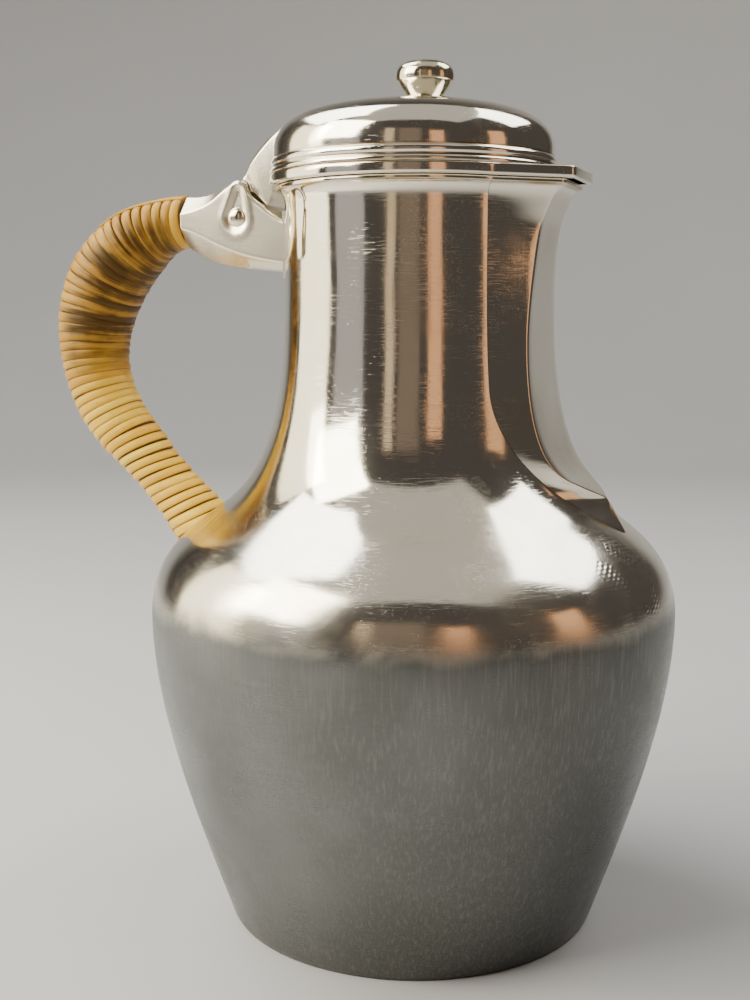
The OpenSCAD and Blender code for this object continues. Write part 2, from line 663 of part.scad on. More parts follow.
// ---- lid leaf: distance from the neck and height from the hinge axis ----
leaf_end = -0.28 * hinge_reach;
leaf_low = flange_z - lid_gap / 2 - hinge_z;
leaf_outline = [[leaf_tip_gap, -leaf_tip_drop], [0.75 * hinge_reach, -0.55 * knuckle_r],
    [hinge_reach - 0.75 * knuckle_r, -0.15 * knuckle_r], [hinge_reach, 0], [hinge_reach, 0.19 * leaf_rise],
    [0.93 * hinge_reach, 0.32 * leaf_rise], [0.85 * hinge_reach, 0.44 * leaf_rise],
    [0.71 * hinge_reach, 0.57 * leaf_rise], [0.42 * hinge_reach, 0.77 * leaf_rise],
    [0.2 * hinge_reach, 0.88 * leaf_rise], [0, 0.955 * leaf_rise], [leaf_end, leaf_rise],
    [leaf_end, leaf_low], [1.1 * flange_out, leaf_low]];
module lid_leaf() {
    color(silver) difference() {
        intersection() {
            rotate([90, 0, 0]) linear_extrude(4 * leaf_root_half_w, center = true)
                polygon([for (p = leaf_outline) [-(neck_r + p[0]), hinge_z + p[1]]]);
            translate([0, 0, hinge_z - 2 * leaf_rise]) linear_extrude(4 * leaf_rise) polygon([
                [hinge_x - knuckle_r, -leaf_half_w], [hinge_x + 2 * knuckle_r, -leaf_half_w],
                [-neck_r, -leaf_root_half_w], [0, -leaf_root_half_w], [0, leaf_root_half_w],
                [-neck_r, leaf_root_half_w], [hinge_x + 2 * knuckle_r, leaf_half_w],
                [hinge_x - knuckle_r, leaf_half_w]]);
        }
        lid_outside();
        translate([hinge_x, 0, hinge_z]) along_y(knuckle_half_l + tiny, knuckle_r + solder);
        for (side = [-1, 1]) translate([hinge_x, side * (knuckle_half_l + leaf_half_w), hinge_z])
            along_y(leaf_half_w, knuckle_r + hinge_gap);
    }
}

module hinge_knuckle_lid() {
    color(silver) translate([hinge_x, 0, hinge_z]) difference() {
        along_y(knuckle_half_l, knuckle_r);
        along_y(2 * knuckle_half_l, pin_r + pin_fit);
    }
}

// ---- finial ----
bun_curve = [[0.6 * finial_r, 0.28 * finial_h], [1.1 * finial_r, 0.55 * finial_h],
             [1.15 * finial_r, 0.95 * finial_h], [0.7 * finial_r, finial_h]];
module finial() {
    color(silver_warm) translate([finial_x, 0, crown_z + solder]) {
        rotate_extrude() polygon(concat([[0, 0], [finial_base_r, 0], [finial_base_r, 0.18 * finial_h]],
            bezier_points(bun_curve, 12), [[0, finial_h]]));
        translate([0, 0, -stud_l]) cylinder(h = stud_l + 1, r = stud_r);
    }
}

// Lowest point of the dome's inside over the washer
washer_top_z = crown_z - dome_t - 0.2;
module finial_washer() {
    color(silver_warm) translate([finial_x, 0, washer_top_z - washer_t]) difference() {
        cylinder(h = washer_t, r = washer_r);
        translate([0, 0, -1]) cylinder(h = washer_t + 2, r = stud_r + seat_fit);
    }
}

module finial_nut() {
    color(silver_warm) translate([finial_x, 0, washer_top_z - washer_t - nut_t]) difference() {
        cylinder(h = nut_t, r = nut_flats / sqrt(3), $fn = 6);
        translate([0, 0, -1]) cylinder(h = nut_t + 2, r = stud_r + solder);
    }
}

body_shell();
base_disc();
spout();
mouth_rim();
socket_plate();
handle_socket();
hinge_knuckles_pot();
hinge_pin();
socket_rivet();
handle_core();
cane_binding();
handle_peg();
peg_pin();
lid_dome();
lid_moulding();
lid_flange();
lid_bezel();
lid_leaf();
hinge_knuckle_lid();
finial();
finial_washer();
finial_nut();
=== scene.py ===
"""Looks of the coffee pot: silver body, spout, lid and hinge, and the cane-bound handle.

Sizes are written in millimetres, as in the part, and turned into metres where a mesh is made.
The spout points along +X, the handle along -X, and the pot stands on z = 0.
"""
import math
from math import cos, radians, sin

import bmesh
import bpy
import numpy as np
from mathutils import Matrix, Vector


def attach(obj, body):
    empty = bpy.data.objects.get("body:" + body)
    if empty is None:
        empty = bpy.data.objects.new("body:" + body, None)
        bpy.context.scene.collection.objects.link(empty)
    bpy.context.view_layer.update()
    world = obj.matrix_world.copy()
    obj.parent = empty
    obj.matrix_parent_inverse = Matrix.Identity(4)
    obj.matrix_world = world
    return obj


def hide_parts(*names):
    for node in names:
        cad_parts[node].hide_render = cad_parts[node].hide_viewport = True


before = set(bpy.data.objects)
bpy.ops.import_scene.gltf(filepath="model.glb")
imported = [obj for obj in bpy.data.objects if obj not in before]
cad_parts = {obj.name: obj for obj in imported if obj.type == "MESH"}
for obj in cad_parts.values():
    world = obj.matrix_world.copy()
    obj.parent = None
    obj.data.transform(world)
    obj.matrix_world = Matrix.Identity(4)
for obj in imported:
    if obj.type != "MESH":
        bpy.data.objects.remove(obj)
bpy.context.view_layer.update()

MM = 0.001
TAU = 2 * math.pi
ROUND_STEPS = 224
ARC_STEPS, SHARP = 140, 32.0

# ---- driving dimensions of the part: millimetres, and degrees for the angles ----
FOOT_R, BELLY_R, BELLY_Z = 40.2, 56.7, 67.2
TURN_R, TURN_Z = 42.2, 89.2
NECK_R, NECK_Z, NECK_TOP = 27.3, 142.7, 156.0
WALL, MOUTH_FLARE = 1.2, 1.2
RIM_T, RIM_OUT, LIP_REACH, LIP_HALF_W, MOUTH_A = 1.0, 1.7, 7.1, 8.2, 38.0
SPOUT_DROP, SPOUT_SPREAD, SPREAD_H, POINT_H = 3.1, 38.4, 30.0, 6.7
FACE_HALF_W, FACE_TOP_HALF_W = 12.9, 7.7
KEEL_PROUD, FACE_PROUD, FACE_TOP_PROUD, SPOUT_WALL = 4.7, 0.45, 5.4, 0.8
WINDOW_HALF_W, WINDOW_H = 8.0, 12.5
FLANGE_OUT, FLANGE_T, BEAK_OVER, BEAK_SIDE, BEAK_A = 3.1, 2.3, 2.0, 0.5, 39.0
MOULDING_H, MOULDING_W, DOME_STEP = 3.2, 0.6, 0.8
SKIRT_H, DOME_RISE, DOME_T = 4.1, 10.6, 1.0
BEZEL_GAP, POUR_H, POUR_HALF_W, POUR_GAP = 0.7, 1.3, 6.4, 1.2
FINIAL_X, FINIAL_H, FINIAL_R, FINIAL_BASE_R, STUD_R, STUD_L = 2.4, 8.3, 6.1, 3.3, 1.2, 5.0
HINGE_REACH, HINGE_UP, KNUCKLE_R, KNUCKLE_HALF_L, HINGE_GAP = 10.9, 1.8, 1.6, 1.9, 0.25
LEAF_HALF_W, LEAF_ROOT_HALF_W, LEAF_RISE = 4.3, 6.0, 13.6
SOCKET_L, SOCKET_HALF_W, SOCKET_END_HALF_W, CHEEK_T, HANDLE_DROP = 26.0, 6.2, 5.5, 1.6, 6.5
RIVET_OUT, RIVET_R, RIVET_HEAD_R, RIVET_HEAD_H = 11.7, 1.2, 2.1, 1.0
DISH_DEPTH, DISH_R, DISH_TIP_R = 0.5, 2.7, 1.0
BEND_R, BEND_FROM, BEND_TO = 28.0, 86.5, 43.2
GRIP_START, GRIP_R, GRIP_SLIM, GRIP_END = 5.8, 9.55, 6.2, 7.2
CANE_W, LEG_CANE_W, CANE_GAP = 2.05, 2.4, 0.08
SOLDER, LID_GAP = 0.02, 0.1

# ---- places that follow from them ----
SPOUT_Z = TURN_Z - SPOUT_DROP
SPOUT_H = NECK_TOP - SPOUT_Z
WINDOW_Z = SPOUT_Z + WINDOW_H
RIM_Z = NECK_TOP + RIM_T
LIP_X = NECK_R + LIP_REACH
MOUTH_R = NECK_R - WALL
HINGE_X = -(NECK_R + HINGE_REACH)
HINGE_Z = NECK_TOP + HINGE_UP
HANDLE_Z = HINGE_Z - HANDLE_DROP
RIVET = (-(NECK_R + RIVET_OUT), HANDLE_Z + 0.2)
SLOT_HALF_W = SOCKET_HALF_W - CHEEK_T
FLANGE_Z = RIM_Z + LID_GAP
FLANGE_TOP = FLANGE_Z + FLANGE_T
FLANGE_R = NECK_R + FLANGE_OUT
BEZEL_R = MOUTH_R - BEZEL_GAP
DOME_R = FLANGE_R - DOME_STEP
DOME_Z = FLANGE_TOP + SKIRT_H
CROWN_Z = DOME_Z + DOME_RISE
BEND_X = NECK_R + SOCKET_L - BEND_R * cos(radians(BEND_FROM))
BEND_Z = HANDLE_Z - BEND_R * sin(radians(BEND_FROM))
BEND_L = BEND_R * radians(BEND_FROM + BEND_TO)
BIND_START = GRIP_START * cos(radians(BEND_FROM)) + CANE_GAP


# ---- curves ----
def bezier(p, steps):
    """Points along a cubic curve with four control points."""
    t = np.linspace(0, 1, steps + 1)[:, None]
    a, b, c, d = (np.array(q, float) for q in p)
    return (1 - t) ** 3 * a + 3 * (1 - t) ** 2 * t * b + 3 * (1 - t) * t ** 2 * c + t ** 3 * d


def smooth(rows, x):
    """Smooth curve through rows of (position, value), read at x."""
    last = len(rows) - 1
    slope = lambda i: ((rows[min(i + 1, last)][1] - rows[max(i - 1, 0)][1])
                       / (rows[min(i + 1, last)][0] - rows[max(i - 1, 0)][0]))
    i = next((k for k in range(last - 1) if x < rows[k + 1][0]), last - 1)
    (x0, v0), (x1, v1) = rows[i], rows[i + 1]
    w = x1 - x0
    t = min(1.0, max(0.0, (x - x0) / w))
    return ((1 + 2 * t) * (1 - t) ** 2 * v0 + t * (1 - t) ** 2 * w * slope(i)
            + t * t * (3 - 2 * t) * v1 - t * t * (1 - t) * w * slope(i + 1))


def step(x, low, high):
    """0 below low, 1 above high, smooth between."""
    t = min(1.0, max(0.0, (x - low) / (high - low)))
    return t * t * (3 - 2 * t)


def beside(line, d):
    """A polyline moved sideways by d, to the left of the way it runs."""
    pts = np.array(line, float)
    way = np.empty_like(pts)
    way[1:-1] = pts[2:] - pts[:-2]
    way[0], way[-1] = pts[1] - pts[0], pts[-1] - pts[-2]
    way /= np.linalg.norm(way, axis=1)[:, None]
    return pts + d * np.stack([-way[:, 1], way[:, 0]], axis=1)


def rounded(corners, radii, steps=4, closed=True):
    """A polygon, or an open line, whose corners are turned into curves of the given radii."""
    pts = [np.array(p, float) for p in corners]
    ends = () if closed else (0, len(pts) - 1)
    out = []
    for i, p in enumerate(pts):
        if radii[i] == 0:
            out.append(p)
            continue
        ways = [pts[i - 1] - p, pts[(i + 1) % len(pts)] - p]
        lengths = [max(np.linalg.norm(way), 1e-9) for way in ways]
        reach = 0.0 if i in ends else min(radii[i], 0.45 * min(lengths))
        a, b = (way / length * reach for way, length in zip(ways, lengths))
        out += [p + (1 - t) ** 2 * a + t ** 2 * b for t in np.linspace(0, 1, steps + 1)]
    return np.array(out)


OUTLINE = np.vstack([
    bezier([(FOOT_R, 0), (FOOT_R + 5.2, 15.4), (BELLY_R, BELLY_Z - 23), (BELLY_R, BELLY_Z)], 60),
    bezier([(BELLY_R, BELLY_Z), (BELLY_R, BELLY_Z + 12.1), (TURN_R + 7, TURN_Z - 5.05), (TURN_R, TURN_Z)],
           36)[1:],
    bezier([(TURN_R, TURN_Z), (TURN_R - 12.1, TURN_Z + 8.7), (NECK_R, NECK_Z - 31.7), (NECK_R, NECK_Z)],
           64)[1:],
    bezier([(NECK_R, NECK_TOP - 5), (NECK_R, NECK_TOP - 2), (NECK_R + 0.2, NECK_TOP - 0.8),
            (NECK_R + MOUTH_FLARE, NECK_TOP)], 14)])


def pot_r(z):
    """Outer radius of the pot at a height."""
    return np.interp(z, OUTLINE[:, 1], OUTLINE[:, 0])


# ---- meshes ----
def add_object(name, data):
    """Puts an object with the given data into the scene."""
    obj = bpy.data.objects.new(name, data)
    bpy.context.scene.collection.objects.link(obj)
    return obj


def mesh_object(name, verts, faces):
    """Makes an object from points in millimetres."""
    mesh = bpy.data.meshes.new(name)
    mesh.from_pydata([tuple(v) for v in np.array(verts, float) * MM], [], [tuple(f) for f in faces])
    return add_object(name, mesh)


def piece(name, verts, faces, material, body, replaced, sharp=SHARP, attributes=None):
    """Makes a named piece of the part and puts it on its body."""
    obj = mesh_object(name, verts, faces)
    for key, values in (attributes or {}).items():
        layer = obj.data.attributes.new(key, "FLOAT", "POINT")
        layer.data.foreach_set("value", np.array(values, dtype=np.float32))
    tidy(obj)
    obj.data.materials.append(material)
    shade(obj, sharp)
    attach(obj, body)
    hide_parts(*replaced)
    return obj


def tidy(obj):
    """Joins points that lie on each other, drops empty faces and turns the normals outward."""
    bm = bmesh.new()
    bm.from_mesh(obj.data)
    bmesh.ops.remove_doubles(bm, verts=bm.verts, dist=1e-7)
    bmesh.ops.dissolve_degenerate(bm, edges=bm.edges, dist=1e-8)
    bmesh.ops.recalc_face_normals(bm, faces=bm.faces)
    bm.to_mesh(obj.data)
    bm.free()


def shade(obj, sharp):
    """Smooth shading, broken where faces meet at more than the given angle."""
    obj.data.shade_smooth()
    obj.data.set_sharp_from_angle(angle=radians(sharp))


def cut(obj, verts, faces, sharp=SHARP):
    """Cuts a closed shape out of a piece."""
    tool = mesh_object("cutter", verts, faces)
    tidy(tool)
    mod = obj.modifiers.new("cut", "BOOLEAN")
    mod.operation, mod.solver, mod.object = "DIFFERENCE", "EXACT", tool
    graph = bpy.context.evaluated_depsgraph_get()
    left = bpy.data.meshes.new_from_object(obj.evaluated_get(graph))
    obj.modifiers.clear()
    spent = (obj.data, tool.data)
    obj.data = left
    bpy.data.objects.remove(tool)
    for mesh in spent:
        bpy.data.meshes.remove(mesh)
    shade(obj, sharp)


def box_mesh(low, high):
    """A closed box between two opposite corners."""
    xs, ys, zs = zip(low, high)
    verts = [(x, y, z) for z in zs for y in ys for x in xs]
    faces = [(0, 2, 3, 1), (4, 5, 7, 6), (0, 1, 5, 4), (2, 6, 7, 3), (0, 4, 6, 2), (1, 3, 7, 5)]
    return verts, faces


def grid(rows, columns, first=0, wrap=(False, True)):
    """Faces between rows of points; wrap says whether the rows and the columns close on themselves."""
    corners = ((0, 0), (1, 0), (1, 1), (0, 1))
    return [tuple(first + (i + p) % rows * columns + (j + q) % columns for p, q in corners)
            for i in range(rows - (not wrap[0])) for j in range(columns - (not wrap[1]))]


def revolve(profile, steps=ROUND_STEPS, centre_x=0.0):
    """Turns a closed outline of (radius, height) round a vertical axis."""
    verts = [(centre_x + r * cos(a), r * sin(a), z)
             for a in np.arange(steps) * TAU / steps for r, z in profile]
    return verts, grid(steps, len(profile), wrap=(True, True))


def loft(rings):
    """Skin through rings that have the same number of points, closed at both ends."""
    n, m = len(rings), len(rings[0])
    ends = [tuple(range(m)), tuple((n - 1) * m + j for j in reversed(range(m)))]
    return [p for ring in rings for p in ring], grid(n, m) + ends


def join(verts, faces, more, more_faces):
    """Adds a second mesh to a first one."""
    faces += [tuple(i + len(verts) for i in f) for f in more_faces]
    verts += more


def plate(outer, hole, low, high, edge):
    """A flat plate with a hole; its outer edge is rounded by the given radius."""
    bottom = [(edge * (1 - sin(t)), low + edge * (1 - cos(t))) for t in np.linspace(0, TAU / 4, 5)]
    top = [(move, low + high - z) for move, z in reversed(bottom)]
    verts, faces, rims = [], [], []
    for loop, rows in ((np.array(outer), bottom + top), (np.array(hole), [(0, low), (0, high)])):
        first, n = len(verts), len(loop)
        inward = beside(np.vstack([loop[-1], loop, loop[0]]), 1.0)[1:-1] - loop
        for move, z in rows:
            verts += [(x, y, z) for x, y in loop + inward * move]
        faces += grid(len(rows), n, first)
        rims.append((list(range(first, first + n)), list(range(len(verts) - n, len(verts)))))
    for outer_rim, hole_rim in zip(*rims):
        faces += between(verts, outer_rim, hole_rim)
    return verts, faces


def between(verts, outer, inner):
    """Flat faces between two loops of point numbers."""
    bm = bmesh.new()
    numbers = {bm.verts.new(verts[i]): i for i in outer + inner}
    made = list(numbers)
    edges = [bm.edges.new((loop[i - 1], loop[i]))
             for loop in (made[:len(outer)], made[len(outer):]) for i in range(len(loop))]
    bmesh.ops.triangle_fill(bm, use_beauty=True, edges=edges)
    faces = [tuple(numbers[v] for v in f.verts) for f in bm.faces]
    bm.free()
    return faces


def beaked(r, a, x, half_w, corner):
    """A circle with a straight-sided beak along +X, its corners rounded."""
    a, side_steps = radians(a), 12
    arc = [(r * cos(t), r * sin(t)) for t in np.linspace(a, TAU - a, ARC_STEPS)]
    tips = rounded([arc[-1], (x, -half_w), (x, half_w), arc[0]], [0, corner, corner, 0], 6, closed=False)
    leave, back = (np.linspace(p, q, side_steps + 1)[1:-1] for p, q in (tips[:2], tips[-2:]))
    return np.vstack([arc, leave, tips[1:-1], back])


# ---- material nodes ----
class Nodes:
    """Builds a node material; each call returns the output socket of what it adds."""

    def __init__(self, name):
        self.material = bpy.data.materials.new(name)
        self.material.use_nodes = True
        self.tree = self.material.node_tree
        self.tree.nodes.clear()
        self.place = None

    def add(self, kind, output=0, links=None, **settings):
        node = self.tree.nodes.new(kind)
        for key, value in settings.items():
            setattr(node, key, value)
        for key, value in (links or {}).items():
            self.feed(node.inputs[key], value)
        return node.outputs[output]

    def feed(self, socket, value):
        if isinstance(value, bpy.types.NodeSocket):
            self.tree.links.new(value, socket)
        else:
            socket.default_value = value

    def math(self, operation, a, b=0.0):
        return self.add("ShaderNodeMath", links={0: a, 1: b}, operation=operation)

    def plus(self, a, b):
        return self.math("ADD", a, b)

    def times(self, a, b):
        return self.math("MULTIPLY", a, b)

    def position(self):
        """Place on the piece, in millimetres."""
        if self.place is None:
            at = self.add("ShaderNodeTexCoord", output="Object")
            self.place = self.scaled(at, (1000, 1000, 1000))
        return self.place

    def scaled(self, vector, scale, turn=(0, 0, 0)):
        return self.add("ShaderNodeMapping", links={"Vector": vector, "Scale": scale, "Rotation": turn})

    def noise(self, scale, detail=3.0, rough=0.5, stretch=(1, 1, 1), turn=(0, 0, 0), distortion=0.0,
              place=None):
        place = self.scaled(place or self.position(), tuple(scale * s for s in stretch), turn)
        return self.add("ShaderNodeTexNoise", output="Fac", links={
            "Vector": place, "Scale": 1.0, "Detail": detail, "Roughness": rough, "Distortion": distortion})

    def between(self, value, low, high, to_low=0.0, to_high=1.0):
        """A smooth step of a value from low to high, as to_low to to_high."""
        return self.add("ShaderNodeMapRange", output="Result", interpolation_type="SMOOTHSTEP", links={
            "Value": value, "From Min": low, "From Max": high, "To Min": to_low, "To Max": to_high})

    def ramp(self, value, stops):
        """A colour read from stops of (value, colour)."""
        node = self.tree.nodes.new("ShaderNodeValToRGB")
        band = node.color_ramp
        while len(band.elements) < len(stops):
            band.elements.new(0.5)
        for mark, (at, colour) in zip(band.elements, stops):
            mark.position, mark.color = at, (*colour, 1)
        self.tree.links.new(value, node.inputs["Fac"])
        return node.outputs["Color"]

    def mix(self, share, a, b):
        """Colour a where the share is 0 and b where it is 1."""
        node = self.tree.nodes.new("ShaderNodeMix")
        node.data_type = "RGBA"
        self.feed(node.inputs["Factor"], share)
        for key, value in (("A", a), ("B", b)):
            socket = next(s for s in node.inputs if s.name == key and s.type == "RGBA")
            self.feed(socket, value if isinstance(value, bpy.types.NodeSocket) else (*value, 1))
        return next(s for s in node.outputs if s.type == "RGBA")

    def attribute(self, name):
        return self.add("ShaderNodeAttribute", output="Fac", attribute_name=name)

    def axis(self, letter):
        return self.add("ShaderNodeSeparateXYZ", output=letter, links={"Vector": self.position()})

    def bump(self, height, distance_mm, under=None):
        links = {"Height": height, "Distance": distance_mm * MM, "Strength": 1.0}
        if under is not None:
            links["Normal"] = under
        return self.add("ShaderNodeBump", output="Normal", links=links)

    def shader(self, **inputs):
        node = self.tree.nodes.new("ShaderNodeBsdfPrincipled")
        for key, value in inputs.items():
            self.feed(node.inputs[key.replace("_", " ")], value)
        out = self.tree.nodes.new("ShaderNodeOutputMaterial")
        self.tree.links.new(node.outputs["BSDF"], out.inputs["Surface"])
        return self.material


def scratches(n, seed):
    """Sparse fine hairlines in several directions, 0 to 1."""
    total = None
    for k in range(3):
        turn = (0.5 * k + seed, 0.9 * k + 0.3 * seed, 1.1 * k + seed)
        hair = n.noise(4.2, detail=1.0, stretch=(0.03, 1.6, 1.6), turn=turn)
        where = n.noise(0.05 + 0.015 * k, detail=1.0, turn=turn)
        line = n.times(n.between(hair, 0.69, 0.73), n.between(where, 0.52, 0.66))
        total = line if total is None else n.math("MAXIMUM", total, line)
    return total


SILVER, WORN, GRIME = (0.95, 0.89, 0.755), (0.81, 0.715, 0.53), (0.36, 0.24, 0.09)
FITTING_SILVER, WARM_SILVER, WARM_WORN = (0.97, 0.88, 0.68), (0.92, 0.835, 0.62), (0.74, 0.62, 0.36)


def silver(name, tint=SILVER, worn=WORN, base_rough=0.07, seed=0.0, turned=1.0, hairs=1.0, satin=False,
           seams=()):
    """Old polished silver: rings and fine upright lines from polishing, hairlines, haze and tarnish.

    The strengths of the rings and the hairlines are turned and hairs; seams are heights with dark tarnish.
    """
    n = Nodes(name)
    rings = n.noise(1.0, detail=3.0, rough=0.65, stretch=(0.22, 0.22, 3.2), turn=(0, 0, seed))
    drawn = n.noise(1.0, detail=3.0, rough=0.6, stretch=(1.6, 1.6, 0.05), turn=(0, 0, seed))
    grain = n.noise(4.5, detail=3.0, rough=0.7)
    haze = n.noise(0.055, detail=4.0, rough=0.55, distortion=0.6)
    patches = n.noise(0.11, detail=2.0, rough=0.5)
    wave = n.noise(0.045, detail=1.0, rough=0.4)
    hair = scratches(n, seed)

    ring = n.times(n.between(rings, 0.48, 0.72), n.between(patches, 0.38, 0.62, 0.25, 1.0))
    rough = n.between(haze, 0.35, 0.75, base_rough, base_rough + 0.07)
    rough = n.plus(rough, n.times(ring, 0.07 * turned))
    rough = n.plus(rough, n.times(hair, 0.08 * hairs))

    colour = n.mix(n.times(n.between(haze, 0.44, 0.78), 0.6), tint, worn)
    colour = n.mix(n.times(hair, 0.12 * hairs), colour, tuple(0.7 * c for c in worn))
    for level in seams:
        away = n.math("ABSOLUTE", n.math("SUBTRACT", n.axis("Z"), level))
        patchy = n.between(patches, 0.36, 0.58, 0.35, 0.85)
        grime = n.times(n.between(away, 0.12, 0.50, 1.0, 0.0), patchy)
        colour = n.mix(grime, colour, GRIME)
        rough = n.plus(rough, n.times(grime, 0.14))

    normal = n.bump(wave, 0.30)
    normal = n.bump(drawn, 0.005, normal)
    normal = n.bump(ring, 0.006 * turned, normal)
    normal = n.bump(grain, 0.0012, normal)
    normal = n.bump(hair, -0.005 * hairs, normal)
    # The belly: satin finish, with a painted dark reflection and painted shade in its colour
    if satin:
        rough, colour, normal = satin_belly_painted_dark(n, rough, colour, normal, haze, grain)
        normal = n.bump(chatter_marks(n), 0.03, normal)
    return n.shader(Base_Color=colour, Metallic=1.0, Roughness=n.math("MINIMUM", rough, 0.6), Normal=normal)


# Greys of the belly below the shoulder: a painted dark reflection in place of the silver's own colour
GREY_PALE, GREY_DARK, GREY_STROKE = (0.205, 0.210, 0.200), (0.150, 0.153, 0.144), (0.25, 0.255, 0.245)
GREY_SPOUT_SIDE_SHADE, GREY_FOOT_SHADE = (0.095, 0.096, 0.089), (0.060, 0.056, 0.049)
GREY_BRUSHED, GREY_SPECK = (0.23, 0.232, 0.22), (0.235, 0.236, 0.222)


def satin_belly_painted_dark(n, rough, colour, normal, haze, grain):
    """The belly below the shoulder is worn to a matt satin with a fine grain; its dark grey colour is a
    painted dark reflection.
    """
    height = n.plus(n.axis("Z"), n.times(n.math("SUBTRACT", haze, 0.5), 8.0))
    dull_and_painted_dark = n.between(height, BELLY_Z + 1, BELLY_Z + 8, 1.0, 0.0)
    below_neck = n.between(height, TURN_Z - 9, TURN_Z + 6, 1.0, 0.0)
    rough = n.plus(rough, n.times(below_neck, n.between(haze, 0.25, 0.7, 0.03, 0.09)))
    strokes = n.noise(0.9, detail=4.0, rough=0.7, stretch=(0.16, 0.16, 1.0), turn=(0.06, 0.04, 0))
    cloud = n.noise(0.028, detail=3.0, rough=0.55)
    brushed = n.noise(1.3, detail=3.0, rough=0.6, stretch=(1.5, 1.5, 0.07))
    rough = n.plus(rough, n.times(dull_and_painted_dark, n.between(strokes, 0.3, 0.7, 0.13, 0.18)))

    # Painted dark reflection: a clouded dark grey base colour
    grey = n.mix(n.between(cloud, 0.35, 0.68), GREY_PALE, GREY_DARK)
    grey = n.mix(n.between(strokes, 0.42, 0.7, 0.0, 0.16), grey, GREY_STROKE)
    # Painted shade: the belly is darker towards the spout side
    grey = n.mix(n.between(n.axis("X"), -15.0, 48.0, 0.0, 0.80), grey, GREY_SPOUT_SIDE_SHADE)
    # Painted shade: darker towards the foot
    grey = n.mix(n.between(height, 2.0, 26.0, 0.45, 0.0), grey, GREY_FOOT_SHADE)
    grey = n.mix(n.between(brushed, 0.45, 0.75, 0.0, 0.45), grey, GREY_BRUSHED)
    speckle = n.times(n.between(grain, 0.52, 0.68), n.between(height, 8.0, 50.0, 0.75, 0.25))
    grey = n.mix(speckle, grey, GREY_SPECK)
    texture = n.times(dull_and_painted_dark, n.plus(strokes, grain))
    return rough, n.mix(dull_and_painted_dark, colour, grey), n.bump(texture, 0.006, normal)


CHATTER_AT = (50.0, -13.0, 81.0)


def chatter_marks(n):
    """Two sets of fine tool lines that cross on the shoulder below the spout."""
    total = None
    for turn in ((0.3, 0.5, 0.2), (-0.5, 0.2, 0.9)):
        place = n.scaled(n.position(), (1, 1, 1), turn)
        wave = n.add("ShaderNodeTexWave", output="Fac", wave_type="BANDS", bands_direction="Z", links={
            "Vector": place, "Scale": 0.33, "Distortion": 1.2, "Detail": 1.0, "Detail Scale": 0.6})
        total = wave if total is None else n.plus(total, wave)
    away = n.add("ShaderNodeVectorMath", output="Value", operation="DISTANCE", links={
        0: n.position(), 1: CHATTER_AT})
    patchy = n.between(n.noise(0.16, detail=2.0), 0.42, 0.6)
    return n.times(total, n.times(n.between(away, 5.0, 13.0, 1.0, 0.0), patchy))


# Colours of the strip as (share of a turn's own shade, colour): the upper bend is darker and browner than the
# leg as painted shade, the leg paler as painted light
CANE_BEND_SHADED = [(0.0, (0.42, 0.21, 0.018)), (0.35, (0.52, 0.28, 0.026)), (0.7, (0.62, 0.36, 0.040)),
             (1.0, (0.47, 0.245, 0.022))]
CANE_LEG_LIT = [(0.0, (0.84, 0.50, 0.042)), (0.35, (0.90, 0.58, 0.052)), (0.7, (0.95, 0.68, 0.080)),
            (1.0, (0.88, 0.54, 0.046))]
CANE_FIBRE, CANE_CLOUD, CANE_FLANK_SHADE = (0.46, 0.20, 0.022), (0.56, 0.26, 0.030), (0.56, 0.28, 0.028)
CANE_CREASE_SHADE, CANE_SPOT, CANE_FRAYED = (0.10, 0.040, 0.008), (0.22, 0.09, 0.02), (0.070, 0.028, 0.006)
STAIN_AND_SHADE, DEEP_STAIN, CANE_SHEEN = (0.19, 0.088, 0.016), (0.030, 0.011, 0.002), (1.0, 0.80, 0.42, 1.0)


